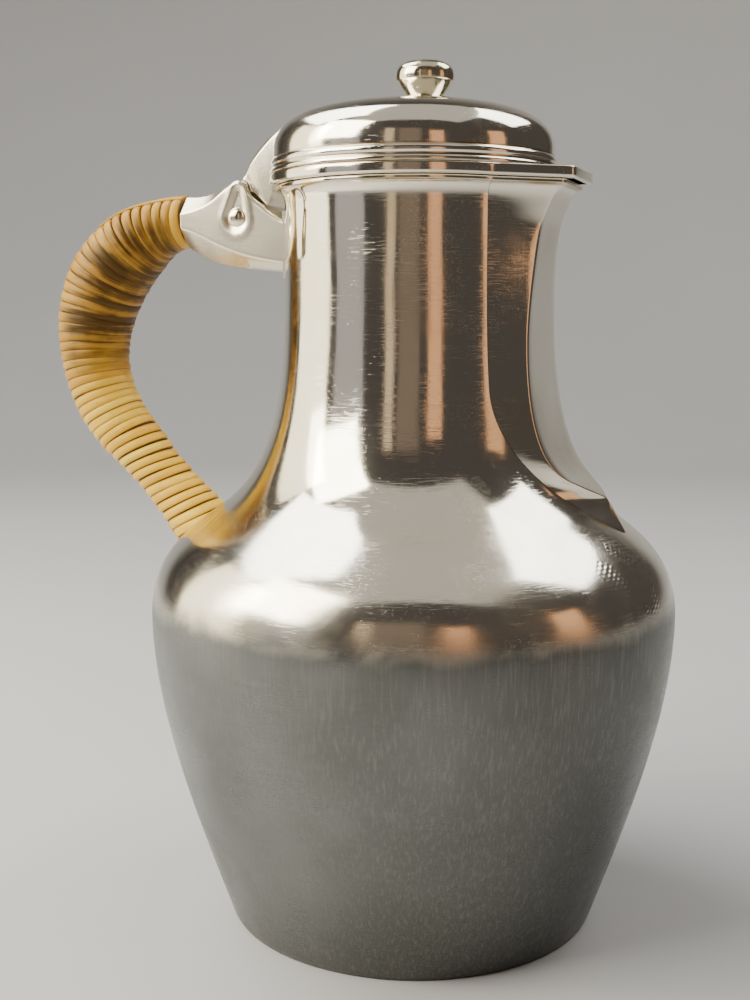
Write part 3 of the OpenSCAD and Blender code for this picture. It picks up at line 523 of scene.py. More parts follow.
def cane_material():
    """Split cane: fibres along each strip, painted shade on each strip's flanks and in the creases between
    the turns, and on the inner bend a brown veil, partly old staining and partly painted shade, with darker
    stained streaks.
    """
    n = Nodes("cane")
    across, turn, run, inner = (n.attribute(name) for name in TAGS[1:])
    strip = n.add("ShaderNodeCombineXYZ", output="Vector", links={
        "X": n.attribute("along"), "Y": across, "Z": turn})
    fibre = n.noise(1.0, detail=5.0, rough=0.65, stretch=(0.05, 5.0, 31.0), place=strip)
    streak = n.noise(1.0, detail=2.0, rough=0.5, stretch=(0.055, 0.7, 31.0), place=strip)
    broad = n.noise(0.12, detail=3.0, rough=0.6)
    spots = n.noise(0.9, detail=4.0, rough=0.6)

    # Painted light and shade: the leg's strip is coloured paler and the bend's darker
    on_leg = n.between(run, 0.40 * HANDLE_L, 0.72 * HANDLE_L)
    body = n.mix(on_leg, n.ramp(turn, CANE_BEND_SHADED), n.ramp(turn, CANE_LEG_LIT))
    body = n.mix(n.between(fibre, 0.35, 0.75, 0.0, 0.40), body, CANE_FIBRE)
    body = n.mix(n.between(broad, 0.45, 0.75, 0.0, 0.40), body, CANE_CLOUD)
    edge = n.math("ABSOLUTE", across)
    # Painted shade on each strip's flanks, leaving a paler middle as a painted highlight
    body = n.mix(n.between(edge, 0.40, 0.82, 0.0, 0.45), body, CANE_FLANK_SHADE)
    # Painted shade in the creases between the turns
    body = n.mix(n.between(edge, 0.74, 0.95, 0.0, 0.92), body, CANE_CREASE_SHADE)

    # On the inner side of the bend: a broad brown veil, partly old staining and partly painted shade, with
    # darker stained streaks in it
    off_leg = n.between(run, 0.40 * HANDLE_L, 0.58 * HANDLE_L, 1.0, 0.0)
    stain_and_shade = n.times(n.times(n.between(run, 0.5, 6.0), off_leg),
                   n.between(inner, 0.12, 0.48))
    body = n.mix(n.times(stain_and_shade, 0.62), body, STAIN_AND_SHADE)
    patch = n.plus(n.times(streak, 0.75), n.times(broad, 0.45))
    patch = n.plus(patch, n.times(fibre, 0.2))
    stain_and_shade = n.times(stain_and_shade, n.between(patch, 0.58, 0.78))
    body = n.mix(n.times(stain_and_shade, 0.92), body, DEEP_STAIN)

    outer_side = n.between(inner, 0.02, 0.16, 1.0, 0.0)
    frayed = n.times(n.between(run, 0.68 * HANDLE_L, 0.74 * HANDLE_L), outer_side)
    frayed = n.times(frayed, n.between(streak, 0.46, 0.68, 0.0, 0.75))
    body = n.mix(frayed, body, CANE_FRAYED)
    body = n.mix(n.between(spots, 0.66, 0.74, 0.0, 0.35), body, CANE_SPOT)

    rough = n.plus(n.between(fibre, 0.3, 0.8, 0.31, 0.46), n.times(stain_and_shade, 0.1))
    normal = n.bump(spots, 0.04, n.bump(fibre, 0.10))
    return n.shader(Base_Color=body, Roughness=rough, Normal=normal, Specular_IOR_Level=0.42,
                    Specular_Tint=CANE_SHEEN)


WOOD_DARK, WOOD_PALE = (0.055, 0.028, 0.012), (0.13, 0.07, 0.032)
FLOOR_DARK, FLOOR_PALE = (0.50, 0.50, 0.505), (0.56, 0.56, 0.555)


def wood_material():
    """Dark stained core under the cane."""
    n = Nodes("wood_core")
    grain = n.noise(0.5, detail=5.0, rough=0.6, stretch=(1, 1, 0.12))
    colour = n.ramp(grain, [(0.3, WOOD_DARK), (0.7, WOOD_PALE)])
    return n.shader(Base_Color=colour, Roughness=n.between(grain, 0.3, 0.7, 0.55, 0.75),
                    Normal=n.bump(grain, 0.15))


def floor_material():
    """Matt grey paper with faint clouds."""
    n = Nodes("floor")
    return n.shader(Base_Color=n.mix(n.noise(0.004, detail=3.0), FLOOR_DARK, FLOOR_PALE), Roughness=0.65)


# ---- pot ----
def window_half(z):
    """Half width of the window behind the spout at a height, 0 below it."""
    if z <= WINDOW_Z:
        return 0.0
    return math.sqrt(WINDOW_HALF_W ** 2 - min(0.0, z - WINDOW_Z - WINDOW_HALF_W) ** 2)


def body_shell(material):
    """Raised silver wall, open at the mouth and at the window behind the spout."""
    edge_h = 0.2
    arch = WINDOW_Z + WINDOW_HALF_W * (1 - np.cos(np.linspace(0, TAU / 4, 12)))
    heights = [z for z in np.unique(np.concatenate([OUTLINE[:, 1], arch])) if z > edge_h]
    inner_r, inner_z = beside(OUTLINE, WALL).T
    outer = [(FOOT_R - WALL, 0.0), (FOOT_R - 0.55, 0.0), (FOOT_R - 0.2, 0.06)]
    outer += [(pot_r(z), z) for z in heights]
    inner = [(np.interp(z, inner_z, inner_r), z) for z in reversed(heights)] + [(FOOT_R - WALL, edge_h)]
    rows, columns = outer + inner, ROUND_STEPS + 1
    verts = []
    for r, z in rows:
        gap = math.asin(window_half(z) / r)
        for a in np.linspace(gap, TAU - gap, columns):
            worked_r = r + dent(r, z, a)
            verts.append((worked_r * cos(a), worked_r * sin(a), z))
    faces = grid(len(rows), columns, wrap=(True, False))
    # The window's edges, from the outer surface to the inner one
    inside = {z: len(outer) + k for k, (r, z) in enumerate(inner)}
    for i, ((_, low), (_, high)) in enumerate(zip(outer, outer[1:])):
        if window_half(high) > 0:
            faces += [tuple(q * columns + j for q in (i, i + 1, inside[high], inside[low]))
                      for j in (0, ROUND_STEPS)]
    piece("body_shell_worked", verts, faces, material, "pot", ["body_shell"])


DENT_A, DENT_Z, DENT_DEPTH = 233.4, 152.2, 0.55


def dent(r, z, a):
    """Hand-raised unevenness of the wall, and the small dent high on the neck, in millimetres."""
    uneven = (sin(3 * a + 0.045 * z) + sin(5 * a - 0.07 * z + 1.3) + sin(2 * a + 0.11 * z + 4.0)) / 3
    push = -0.045 * (1 + uneven)
    off = a - radians(DENT_A)
    if cos(off) > 0.5:
        away = math.hypot(r * sin(off) / 1.5, (z - DENT_Z) / 3.6)
        push -= DENT_DEPTH * step(away, 1.15, 0.45)
    return push


# Height above the spout's foot, and the half width of its face
FACE_ROWS = [(0, 0.15), (POINT_H, 0.15), (POINT_H + 1.6, 0.26 * FACE_HALF_W),
             (POINT_H + 3.2, 0.52 * FACE_HALF_W), (POINT_H + 5, 0.78 * FACE_HALF_W),
             (POINT_H + 8, 0.94 * FACE_HALF_W), (POINT_H + 12, FACE_HALF_W),
             (POINT_H + 19, FACE_HALF_W - 0.1), (SPOUT_H - 28, FACE_HALF_W - 1.8),
             (SPOUT_H - 16, FACE_TOP_HALF_W + 1.4), (SPOUT_H - 8, FACE_TOP_HALF_W + 0.6),
             (SPOUT_H, FACE_TOP_HALF_W)]
# Height above the spout's foot, and how far the face stands out from the pot
PROUD_ROWS = [(0, 0.15), (1.9, 0.34 * KEEL_PROUD), (3.9, 0.68 * KEEL_PROUD), (POINT_H, KEEL_PROUD),
              (POINT_H + 1.6, 0.95 * KEEL_PROUD), (POINT_H + 3.2, 0.7 * KEEL_PROUD),
              (POINT_H + 5, 0.42 * KEEL_PROUD), (POINT_H + 7.4, 0.24 * KEEL_PROUD),
              (POINT_H + 11, FACE_PROUD + 0.2), (POINT_H + 19, FACE_PROUD), (SPOUT_H - 36, FACE_PROUD),
              (SPOUT_H - 28, FACE_PROUD + 0.2), (SPOUT_H - 16, FACE_PROUD + 1), (SPOUT_H - 8, FACE_PROUD + 2),
              (SPOUT_H - 3, FACE_TOP_PROUD - 1.2), (SPOUT_H, FACE_TOP_PROUD)]
# The flanks and the face, as numbers of the section's edges, and the parts each is split into
SPLIT_EDGES, SPLITS = (0, 6, 12), 8


def spout_section(h):
    """Rounded section of the spout at a height above its foot."""
    wall_r = pot_r(SPOUT_Z + h)
    half = smooth(FACE_ROWS, h)
    out = wall_r + max(0.15, smooth(PROUD_ROWS, h))
    a = radians(0.5 + SPOUT_SPREAD * sin(radians(90 * min(1, h / SPREAD_H))))
    a_in = 0.74 * a
    back = max(out - SPOUT_WALL, wall_r + 2 * SOLDER if h < WINDOW_H + WINDOW_HALF_W else 0)
    back_half = max(half - 0.4 * SPOUT_WALL, 0.3 * half)
    foot = lambda b: ((wall_r + SOLDER) * cos(b), (wall_r + SOLDER) * sin(b))
    ridge = min(0.55, 0.35 * half + 0.02)
    corners = [foot(-a), (out, -half), (out, half), foot(a), foot(a_in), (back, back_half),
               (back, -back_half), foot(-a_in)]
    line = rounded(corners, [0, ridge, ridge, 0, 0, 0.2, 0.2, 0], 5)
    full = []
    for k, (p, q) in enumerate(zip(line, np.roll(line, -1, axis=0))):
        pieces = SPLITS if k in SPLIT_EDGES else 1
        full += [p + (q - p) * t / pieces for t in range(pieces)]
    return [(x, y, SPOUT_Z + h) for x, y in full]


def spout(material):
    """Three-sided spout with a keel at its foot; its sections lie closer where the keel turns."""
    heights = [SPOUT_H * (0.35 * t + 0.65 * t ** 1.6) for t in np.linspace(0, 1, 201)]
    verts, faces = loft([spout_section(h) for h in heights])
    piece("spout_faceted", verts, faces, material, "pot", ["spout"], sharp=40)


def mouth_rim(material):
    """Flat rim soldered on the mouth, with a beak over the spout."""
    outer = beaked(NECK_R + RIM_OUT, MOUTH_A, LIP_X, LIP_HALF_W, 1.0)
    hole = beaked(MOUTH_R, 0.74 * MOUTH_A, LIP_X - 3 * SPOUT_WALL, LIP_HALF_W - 1.5 * SPOUT_WALL, 0.6)
    verts, faces = plate(outer, hole, NECK_TOP, RIM_Z, 0.3)
    piece("mouth_rim_soldered", verts, faces, material, "pot", ["mouth_rim"])


# ---- lid ----
def lid_flange(material):
    """Beaked flange, hollowed below where the coffee pours."""
    outer = beaked(FLANGE_R, BEAK_A, LIP_X + BEAK_OVER, LIP_HALF_W + BEAK_SIDE, 0.9)
    hole = [((BEZEL_R + SOLDER) * cos(t), (BEZEL_R + SOLDER) * sin(t))
            for t in np.arange(ARC_STEPS) * TAU / ARC_STEPS]
    verts, faces = plate(outer, hole, FLANGE_Z, FLANGE_TOP, 0.5)
    flange = piece("lid_flange_beaked", verts, faces, material, "lid", ["lid_flange"])
    hollow = box_mesh((0, -POUR_HALF_W, FLANGE_Z - 1), (LIP_X + POUR_GAP, POUR_HALF_W, FLANGE_Z + POUR_H))
    cut(flange, *hollow)


def lid_moulding(material):
    """Two beads with a groove between them, round the foot of the dome."""
    # Shares of the moulding's width and of its height
    marks = [(0.0, 0.0), (0.9, 0.0), (1.06, 0.05), (1.1, 0.13), (1.04, 0.22), (0.88, 0.28), (0.62, 0.315),
             (0.6, 0.345), (0.52, 0.40), (0.5, 0.47), (0.6, 0.53), (0.76, 0.57), (0.82, 0.64), (0.8, 0.74),
             (0.66, 0.84), (0.42, 0.91), (0.16, 0.97), (0.0, 1.0)]
    profile = [(DOME_R + SOLDER + a * MOULDING_W, FLANGE_TOP + b * MOULDING_H) for a, b in marks]
    verts, faces = revolve(profile)
    piece("lid_moulding_beads", verts, faces, material, "lid", ["lid_moulding"], sharp=50)


def lid_dome(material):
    """Thin raised dome with a straight skirt."""
    curve = bezier([(DOME_R, DOME_Z), (DOME_R, DOME_Z + 0.68 * DOME_RISE),
                    (0.79 * DOME_R, DOME_Z + DOME_RISE), (0, DOME_Z + DOME_RISE)], 48)
    outer = np.vstack([[(DOME_R, FLANGE_TOP)], curve])
    inner = beside(outer, DOME_T)
    inner[:, 0] = np.maximum(inner[:, 0], 0)
    inner[0] = (DOME_R - DOME_T, FLANGE_TOP)
    verts, faces = revolve(np.vstack([outer, inner[::-1]]))
    piece("lid_dome_raised", verts, faces, material, "lid", ["lid_dome"])


def lid_leaf(material):
    """The tapered leaf that runs from the hinge up the back of the lid, with chamfered edges."""
    # Outer edge (distance from the neck, height over the hinge axis), inner edge, half width, chamfer
    rows = [((10.9, 1.5), (10.2, 0.1), LEAF_HALF_W, 0.3), ((10.9, 2.5), (9.0, -0.5), LEAF_HALF_W, 0.5),
            ((10.5, 3.5), (8.2, -0.85), LEAF_HALF_W, 0.9), ((9.95, 4.7), (7.0, -1.7), 4.45, 1.15),
            ((9.27, 5.98), (5.7, -2.8), 4.7, 1.3), ((8.3, 7.1), (4.5, -3.75), 4.95, 1.35),
            ((7.0, 8.4), (3.25, -0.6), 5.2, 1.3), ((5.2, 9.95), (2.5, 2.5), 5.4, 1.2),
            ((3.3, 11.3), (1.9, 5.4), 5.65, 1.05), ((1.2, 12.4), (1.2, 8.5), 5.85, 0.8),
            ((-0.8, 13.15), (-0.5, 11.2), LEAF_ROOT_HALF_W, 0.5),
            ((-3.05, LEAF_RISE), (-3.3, 12.9), LEAF_ROOT_HALF_W, 0.25)]
    rings = []
    for outer, inner, w, c in rows:
        top, low = (np.array([-(NECK_R + out), HINGE_Z + up]) for out, up in (outer, inner))
        depth = np.linalg.norm(low - top)
        down = (low - top) / depth
        flat = rounded([(-w, depth), (-w, c), (-(w - 1.1 * c), 0), (w - 1.1 * c, 0), (w, c), (w, depth)],
                       [0, 0.35, 0.35, 0.35, 0.35, 0], 3)
        rings.append([(top[0] + down[0] * d, y, top[1] + down[1] * d) for y, d in flat])
    verts, faces = loft(refine(rings, 6))
    leaf = piece("lid_leaf_chamfered", verts, faces, material, "lid", ["lid_leaf"], sharp=40)
    for side in (-1, 1):
        low, high = sorted((side * KNUCKLE_HALF_L, side * 3 * LEAF_HALF_W))
        cut(leaf, *barrel((HINGE_X, low, HINGE_Z), KNUCKLE_R + HINGE_GAP, high - low), sharp=40)


def refine(rings, steps):
    """Adds rings between the given ones, on straight lines."""
    rings = np.array(rings)
    out = [a + (b - a) * t / steps for a, b in zip(rings, rings[1:]) for t in range(steps)]
    return out + [rings[-1]]


def barrel(start, r, length, sides=64):
    """A closed round bar along +Y."""
    rings = [[(start[0] + r * cos(t), start[1] + y, start[2] + r * sin(t))
              for t in np.arange(sides) * TAU / sides] for y in (0, length)]
    return loft(rings)


def finial(material):
    """Bun-shaped knob: a bowl, a band and a flat top, on a waisted foot, with a stud below."""
    # Shares of the foot's or the bun's radius and of the finial's height
    foot = [(0.0, 0.0), (1.0, 0.0), (1.0, 0.02), (0.97, 0.05), (0.92, 0.08)]
    bun = [(0.60, 0.16), (0.70, 0.25), (0.82, 0.36), (0.92, 0.45), (0.965, 0.50), (0.96, 0.515),
           (0.985, 0.53), (1.0, 0.58), (1.0, 0.66), (0.99, 0.74), (0.95, 0.82), (0.90, 0.875),
           (0.84, 0.915), (0.76, 0.935), (0.74, 0.945), (0.70, 0.97), (0.60, 0.99), (0.40, 1.0), (0.0, 1.0)]
    base = CROWN_Z + SOLDER
    knob = [(r * a, base + FINIAL_H * b) for r, marks in ((FINIAL_BASE_R, foot), (FINIAL_R, bun))
            for a, b in marks]
    verts, faces = revolve(knob, 96, FINIAL_X)
    stud = [(0, -STUD_L), (STUD_R - 0.2, -STUD_L), (STUD_R, 0.2 - STUD_L), (STUD_R, 0.5), (0, 0.5)]
    join(verts, faces, *revolve([(r, base + z) for r, z in stud], 48, FINIAL_X))
    piece("finial_turned", verts, faces, material, "lid", ["finial"], sharp=38)


# ---- socket ----
# Distance from the neck, and there the height over the hinge's axis, the half width, or a share of it
SOCKET_DIP = 0.8
TOP_ROWS = [(-SOCKET_DIP, -7.2), (1.2, -6.6), (5.4, -3.8), (8.2, -1.6), (HINGE_REACH - 0.6, 1.2),
            (HINGE_REACH + 0.8, 1.6), (14.2, 0.6), (18.2, -0.9), (22, -1.45), (SOCKET_L, -1.3)]
CHEEK_ROWS = [(-SOCKET_DIP, -16.3), (1.7, -16.1), (9.6, -14.5), (16.9, -11.8), (22, -9.4), (SOCKET_L, -8.2)]
KEEL_ROWS = [(-SOCKET_DIP, -18.1), (1.9, -18), (10, -17.2), (18.6, -15.6), (22.5, -14), (SOCKET_L, -11.8)]
WIDTH_ROWS = [(-SOCKET_DIP, SOCKET_HALF_W), (15, SOCKET_HALF_W),
              (21, 0.4 * SOCKET_HALF_W + 0.6 * SOCKET_END_HALF_W), (SOCKET_L, SOCKET_END_HALF_W)]
EDGE_ROWS = [(-SOCKET_DIP, 0.9), (HINGE_REACH + 2, 0.9), (18, 0.72), (SOCKET_L, 0.42)]
KEEL_WIDTH_ROWS = [(-SOCKET_DIP, 0.5), (15, 0.48), (SOCKET_L, 0.42)]
SLOT_BACK, SLOT_FRONT = 6.2, 2.2
CHEEK_STEPS = 16


def dish(x, z):
    """Depth of the pear-shaped dish in the cheek, with a soft raised lip round it."""
    big, tip, at = np.array([RIVET[0], HANDLE_Z]), np.array([HINGE_X, HINGE_Z - 0.4]), np.array([x, z])
    t = min(1.0, max(0.0, (at - big) @ (tip - big) / ((tip - big) @ (tip - big))))
    away = math.dist(at, big + t * (tip - big)) - (DISH_R + t * (DISH_TIP_R - DISH_R))
    lip = 0.13 * math.exp(-((away - 0.85) / 0.65) ** 2)
    return lip - 0.85 * DISH_DEPTH * (1 - step(away, -1.0, 0.35))


def socket_ring(out, slotted=False):
    """Section of the handle socket at a distance from the neck."""
    w = smooth(WIDTH_ROWS, out)
    top, low, keel = (HINGE_Z + smooth(rows, out) for rows in (TOP_ROWS, CHEEK_ROWS, KEEL_ROWS))
    e, k = w * smooth(EDGE_ROWS, out), w * smooth(KEEL_WIDTH_ROWS, out)
    shoulder = top - 1.2 * (w - e)
    floor = HINGE_Z - KNUCKLE_R - HINGE_GAP if slotted else top
    s = min(SLOT_HALF_W, e - 0.3)
    x = -(NECK_R + out)
    half = [(s, floor), (s, top), (e, top), (w, shoulder), (w, low), (k, keel)]
    line = list(rounded(half, [0, 0.12, 0.28, 0.28, 0.45, 0.4], closed=False))
    # The cheek is split finely, to carry the dish
    i = next(i for i, (a, b) in enumerate(zip(line, line[1:])) if a[1] > shoulder - 0.45 > b[1])
    line[i:i + 2] = np.linspace(line[i], line[i + 1], CHEEK_STEPS + 1)
    right = [(x, y + (dish(x, z) if y > 0.96 * w else 0.0), z) for y, z in line]
    return right + [(x, -y, z) for x, y, z in reversed(right)]


def handle_socket(material):
    """Cheeks and keel of the socket, with the hinge's slot and the dish round the rivet."""
    start, stop, end = HINGE_REACH - SLOT_FRONT, HINGE_REACH + SLOT_BACK, SOCKET_L - 0.35
    rings = [socket_ring(out) for out in np.linspace(-SOCKET_DIP, start, 26)]
    rings += [socket_ring(out, slotted=True) for out in np.linspace(start, stop, 44)]
    rings += [socket_ring(out) for out in np.linspace(stop, end, 26)]
    rings += [shrunk(socket_ring(end + out), by) for out, by in ((0.15, 0.06), (0.28, 0.16), (0.35, 0.35))]
    verts, faces = loft(rings)
    piece("handle_socket_chased", verts, faces, material, "pot", ["handle_socket"], sharp=40)


def shrunk(ring, by):
    """A ring drawn in by a distance, for a rounded end."""
    middle = np.mean(ring, axis=0)
    spread = ring - middle
    return middle + spread * (1 - by / np.linalg.norm(spread[:, 1:], axis=1).mean())


def socket_rivet(material):
    """Domed rivet heads, a little hammered, with the shank between them."""
    sides, seat = 48, SOCKET_HALF_W - DISH_DEPTH + SOLDER
    head = [(RIVET_HEAD_R * cos(t), seat + RIVET_HEAD_H * sin(t)) for t in np.linspace(0, TAU / 4, 14)]
    line = [(r, -y) for r, y in reversed(head)] + [(RIVET_R, -seat), (RIVET_R, seat)] + head
    verts = []
    for a in np.arange(sides) * TAU / sides:
        flat = 1 - 0.03 * sin(3 * a + 0.7)
        verts += [(RIVET[0] + r * flat * cos(a), y, RIVET[1] + r * flat * sin(a)) for r, y in line]
    faces = grid(sides, len(line), wrap=(True, False))
    piece("socket_rivet_domed", verts, faces, material, "pot", ["socket_rivet"], sharp=45)


# ---- handle ----
LEG_A = radians(BEND_TO)
LEG_START = np.array([BEND_X + BEND_R * cos(LEG_A), BEND_Z - BEND_R * sin(LEG_A)])
LEG_WAY = np.array([-sin(LEG_A), -cos(LEG_A)])
LEG_STEP, LEG_MAX = 0.1, 60


def leg_length():
    """Length of the straight leg down to the shoulder."""
    t = 0.0
    while LEG_START[0] + t * LEG_WAY[0] > pot_r(LEG_START[1] + t * LEG_WAY[1]) and t < LEG_MAX:
        t += LEG_STEP
    return t


LEG_L = leg_length()
HANDLE_L = BEND_L + LEG_L
SWELL = GRIP_R - GRIP_SLIM
# Share of the handle's length, and the radius over the cane
GRIP_ROWS = [(0, GRIP_START), (0.07, 1.155 * GRIP_START), (0.17, GRIP_SLIM + 0.75 * SWELL), (0.3, GRIP_R),
             (0.5, GRIP_SLIM + 0.55 * SWELL), (0.67, GRIP_SLIM + 0.3 * SWELL), (0.83, GRIP_SLIM),
             (1, GRIP_END)]


def grip(s):
    """Radius over the cane at a distance along the handle."""
    return smooth(GRIP_ROWS, min(1.0, max(0.0, s / HANDLE_L)))


def on_handle(s, b, r):
    """Point at distance s along the handle, angle b round it from its outer side, r from its middle."""
    if s < BEND_L:
        a = radians(BEND_FROM) - s / BEND_R
        p = np.array([BEND_X, BEND_Z]) + BEND_R * np.array([cos(a), sin(a)])
    else:
        a = -LEG_A
        p = LEG_START + (s - BEND_L) * LEG_WAY
    return (-(p[0] + r * cos(b) * cos(a)), r * sin(b), p[1] + r * cos(b) * sin(a))


def stretch(s, b, r):
    """How much longer the handle's surface is than its middle line, at angle b and radius r."""
    on_bend = step(s, BEND_L + 4, BEND_L - 4)
    return 1 + on_bend * r * cos(b) / BEND_R


STRIP_W, STRIP_RISE, STRIP_SEAT = 2.42, 0.80, 0.08
SPINE_B, SPINE_HALF_A, SPINE_PRESS = -0.20, 0.26, 0.5
BEND_TURNS, LEG_TURNS = round(BEND_L / CANE_W), round(LEG_L / LEG_CANE_W)
# Middle of each turn, measured along the handle
TURNS = ([BIND_START + (i + 0.5) * (BEND_L - BIND_START) / BEND_TURNS for i in range(BEND_TURNS)]
         + [BEND_L + (i + 0.5) * LEG_L / LEG_TURNS for i in range(LEG_TURNS + 2)])
# Turns that lie over the lengthwise strands
TURNS_OVER = (9, 10, 15, 16, 17, 22, 23, 24, 29, 30, 33, 35, 37, 39, 41)
# What each point of the cane carries for its material: place along and across its strip, the turn's shade,
# distance along the handle, and 0 on the handle's outer side to 1 on its inner side
TAGS = ("along", "across", "turn", "run", "inner")


def over_spine(turn):
    """Whether the lengthwise strands run over this turn (1) or under it (0)."""
    return float(turn not in TURNS_OVER)


def lean(s):
    """How far the turns lean along the handle, from their middle to the handle's inner side."""
    share = s / HANDLE_L
    on_leg, on_bend = step(share, 0.52, 0.76), step(share, 0.03, 0.16) * step(share, 0.54, 0.36)
    return 1.9 * on_leg - 0.9 * on_bend


def shoulder_end(b):
    """Distance along the handle at which its surface meets the shoulder, at angle b round it."""
    low, high = HANDLE_L - 12, HANDLE_L + 12
    for _ in range(24):
        s = (low + high) / 2
        x, y, z = on_handle(s, b, grip(s))
        if math.hypot(x, y) > pot_r(z):
            low = s
        else:
            high = s
    return low


def cane_binding(material):
    """One long strip of split cane wound round the handle, each turn lapping the one before."""
    rng = np.random.default_rng(7)
    count = len(TURNS)
    shades, lifts = rng.random(count), 0.24 * rng.random(count)
    widths, shifts = 1 + 0.18 * (rng.random(count) - 0.5), 0.5 * (rng.random(count) - 0.5)
    section = [(sin(t), cos(t) ** 0.8) for t in np.linspace(-TAU / 4, TAU / 4, 11)[1:-1]]
    section = [(-1.0, 0.0)] + section + [(1.0, 0.0)]
    sides = 56
    ends = [shoulder_end(TAU * j / sides) + 0.45 for j in range(sides)]
    verts, faces, tags = [], [], {key: [] for key in TAGS}
    for i, at in enumerate(TURNS):
        faces += grid(sides, len(section), len(verts), wrap=(True, True))
        before, after = max(i - 1, 0), min(i + 1, count - 1)
        half_pitch = 0.5 * (TURNS[after] - TURNS[before]) / (after - before)
        for j in range(sides):
            b = TAU * j / sides
            inner = (1 - cos(b)) / 2
            wander = shifts[i] * sin(b + 5 * shades[i]) * (0.3 + 0.7 * inner)
            middle = min(max(at - lean(at) * cos(b) + wander, BIND_START), ends[j])
            half = 0.5 * STRIP_W * widths[i] / stretch(middle, b, grip(middle))
            lap = max(0.0, half / half_pitch - 1.0)
            tilt = 0.5 * (0.12 + min(0.5, 0.55 * lap))
            off_spine = math.remainder(b - SPINE_B, TAU) / SPINE_HALF_A
            press = SPINE_PRESS * over_spine(i) * math.exp(-off_spine ** 2) + lifts[i] * inner
            for v, up in section:
                s = min(max(middle + v * half, BIND_START), ends[j])
                rise = (up - 1) * STRIP_RISE - STRIP_SEAT - press + tilt * (v - 1)
                verts.append(on_handle(s, b, grip(s) + rise))
                tag(tags, (i + j / sides) * 40.0, v, shades[i], s, inner)
    lengthwise_strands(verts, faces, tags)
    piece("cane_binding_wound", verts, faces, material, "pot", ["cane_binding"], sharp=50,
          attributes=tags)


def tag(tags, *values):
    """Writes down what a point of the cane carries."""
    for key, value in zip(TAGS, values):
        tags[key].append(value)


def lengthwise_strands(verts, faces, tags):
    """Two narrow strands laid along the handle's back, woven over and under the turns."""
    section = [(-1.0, -0.45), (-0.9, -0.1), (-0.4, 0.0), (0.4, 0.0), (0.9, -0.1), (1.0, -0.45)]
    for lane, shade_value in ((-1, 0.8), (1, 0.55)):
        rings = []
        for s in np.linspace(BIND_START, HANDLE_L - 0.9, 261):
            at = np.interp(s + lean(s), TURNS, np.arange(len(TURNS)))
            share = step(at, int(at), int(at) + 1)
            over = (1 - share) * over_spine(int(at)) + share * over_spine(int(at) + 1)
            r = grip(s) - 0.04 - 1.05 * (1 - over)
            rings.append([on_handle(s, SPINE_B + (lane + 0.86 * v) / r, r + up) for v, up in section])
            for v, up in section:
                tag(tags, s, 0.85 * v, shade_value, s, 0.0)
        join(verts, faces, *loft(rings))


# ---- stage ----
CAMERA_MM, CAMERA_TURN, CAMERA_TILT, LENS = (93.1, -265.4, 130.4), 21.0, 8.09, 46.8
AIM = Vector((0, 0, 0.09))
ROOM = (0.068, 0.061, 0.057, 1)
# Name, degrees round the pot from the camera (left is negative) and up from level, distance from the pot,
# width and height in metres, watts, colour
LIGHTS = [
    ("left_panel", -96, 10, 0.72, 0.50, 0.80, 3.6, (1.0, 0.92, 0.70)),
    ("left_bright", -84, 26, 1.0, 0.24, 0.50, 2.2, (1.0, 0.97, 0.88)),
    ("left_front", -56, 8, 1.0, 0.46, 0.80, 0.46, (0.97, 0.94, 0.96)),
    ("front_fill", -4, 8, 1.0, 0.30, 0.85, 0.11, (1.0, 0.72, 0.50)),
    ("handle_key", -64, 36, 0.58, 0.36, 0.36, 4.6, (1.0, 0.95, 0.82)),
    ("top_left", -120, 58, 1.0, 0.66, 0.58, 8.5, (1.0, 0.99, 0.96)),
    ("top_right", 114, 50, 1.0, 0.60, 0.48, 5.0, (1.0, 0.99, 0.96)),
    ("ceiling", 0, 86, 1.3, 1.70, 1.60, 3.9, (1.0, 0.95, 0.88)),
    ("warm_strip", 18, 4, 1.0, 0.20, 0.80, 0.40, (1.0, 0.50, 0.24)),
    ("warm_side", 69, 4, 1.0, 0.26, 0.80, 0.55, (1.0, 0.52, 0.25)),
    ("front_strip", -20, 8, 1.0, 0.12, 0.80, 0.20, (1.0, 0.76, 0.50)),
]
FLOOR_FLAT, FLOOR_BEND, WALL_H, FLOOR_STEPS = 850.0, 450.0, 2000.0, 120
BACKDROP_FULL_A, BACKDROP_END_A = 26, 52


def camera():
    """The camera that the photograph was taken with."""
    data = bpy.data.cameras.new("view")
    data.sensor_width, data.sensor_fit, data.lens = 36.0, "AUTO", LENS
    data.clip_start, data.clip_end = 0.01, 60.0
    obj = add_object("view", data)
    obj.location = [c * MM for c in CAMERA_MM]
    turn, tilt = radians(CAMERA_TURN), radians(CAMERA_TILT)
    way = Vector((-sin(turn) * cos(tilt), cos(turn) * cos(tilt), -sin(tilt)))
    obj.rotation_euler = way.to_track_quat("-Z", "Y").to_euler()
    bpy.context.scene.camera = obj


def softbox(name, turn, lift, away, width, height, watts, colour):
    """Soft area light, turned to the pot."""
    turn, lift = math.atan2(CAMERA_MM[1], CAMERA_MM[0]) + radians(turn), radians(lift)
    way = Vector((cos(turn) * cos(lift), sin(turn) * cos(lift), sin(lift)))
    data = bpy.data.lights.new(name, "AREA")
    data.shape, data.size, data.size_y = "RECTANGLE", width, height
    data.energy, data.color = watts, colour
    obj = add_object(name, data)
    obj.location = AIM + away * way
    obj.rotation_euler = (-way).to_track_quat("-Z", "Y").to_euler()
    obj.visible_camera = False


def stage():
    """Dim room, backdrop and lights."""
    world = bpy.data.worlds.new("studio")
    bpy.context.scene.world = world
    world.use_nodes = True
    room = world.node_tree.nodes["Background"].inputs
    room["Color"].default_value, room["Strength"].default_value = ROOM, 1.0
    sweep()
    for light in LIGHTS:
        softbox(*light)


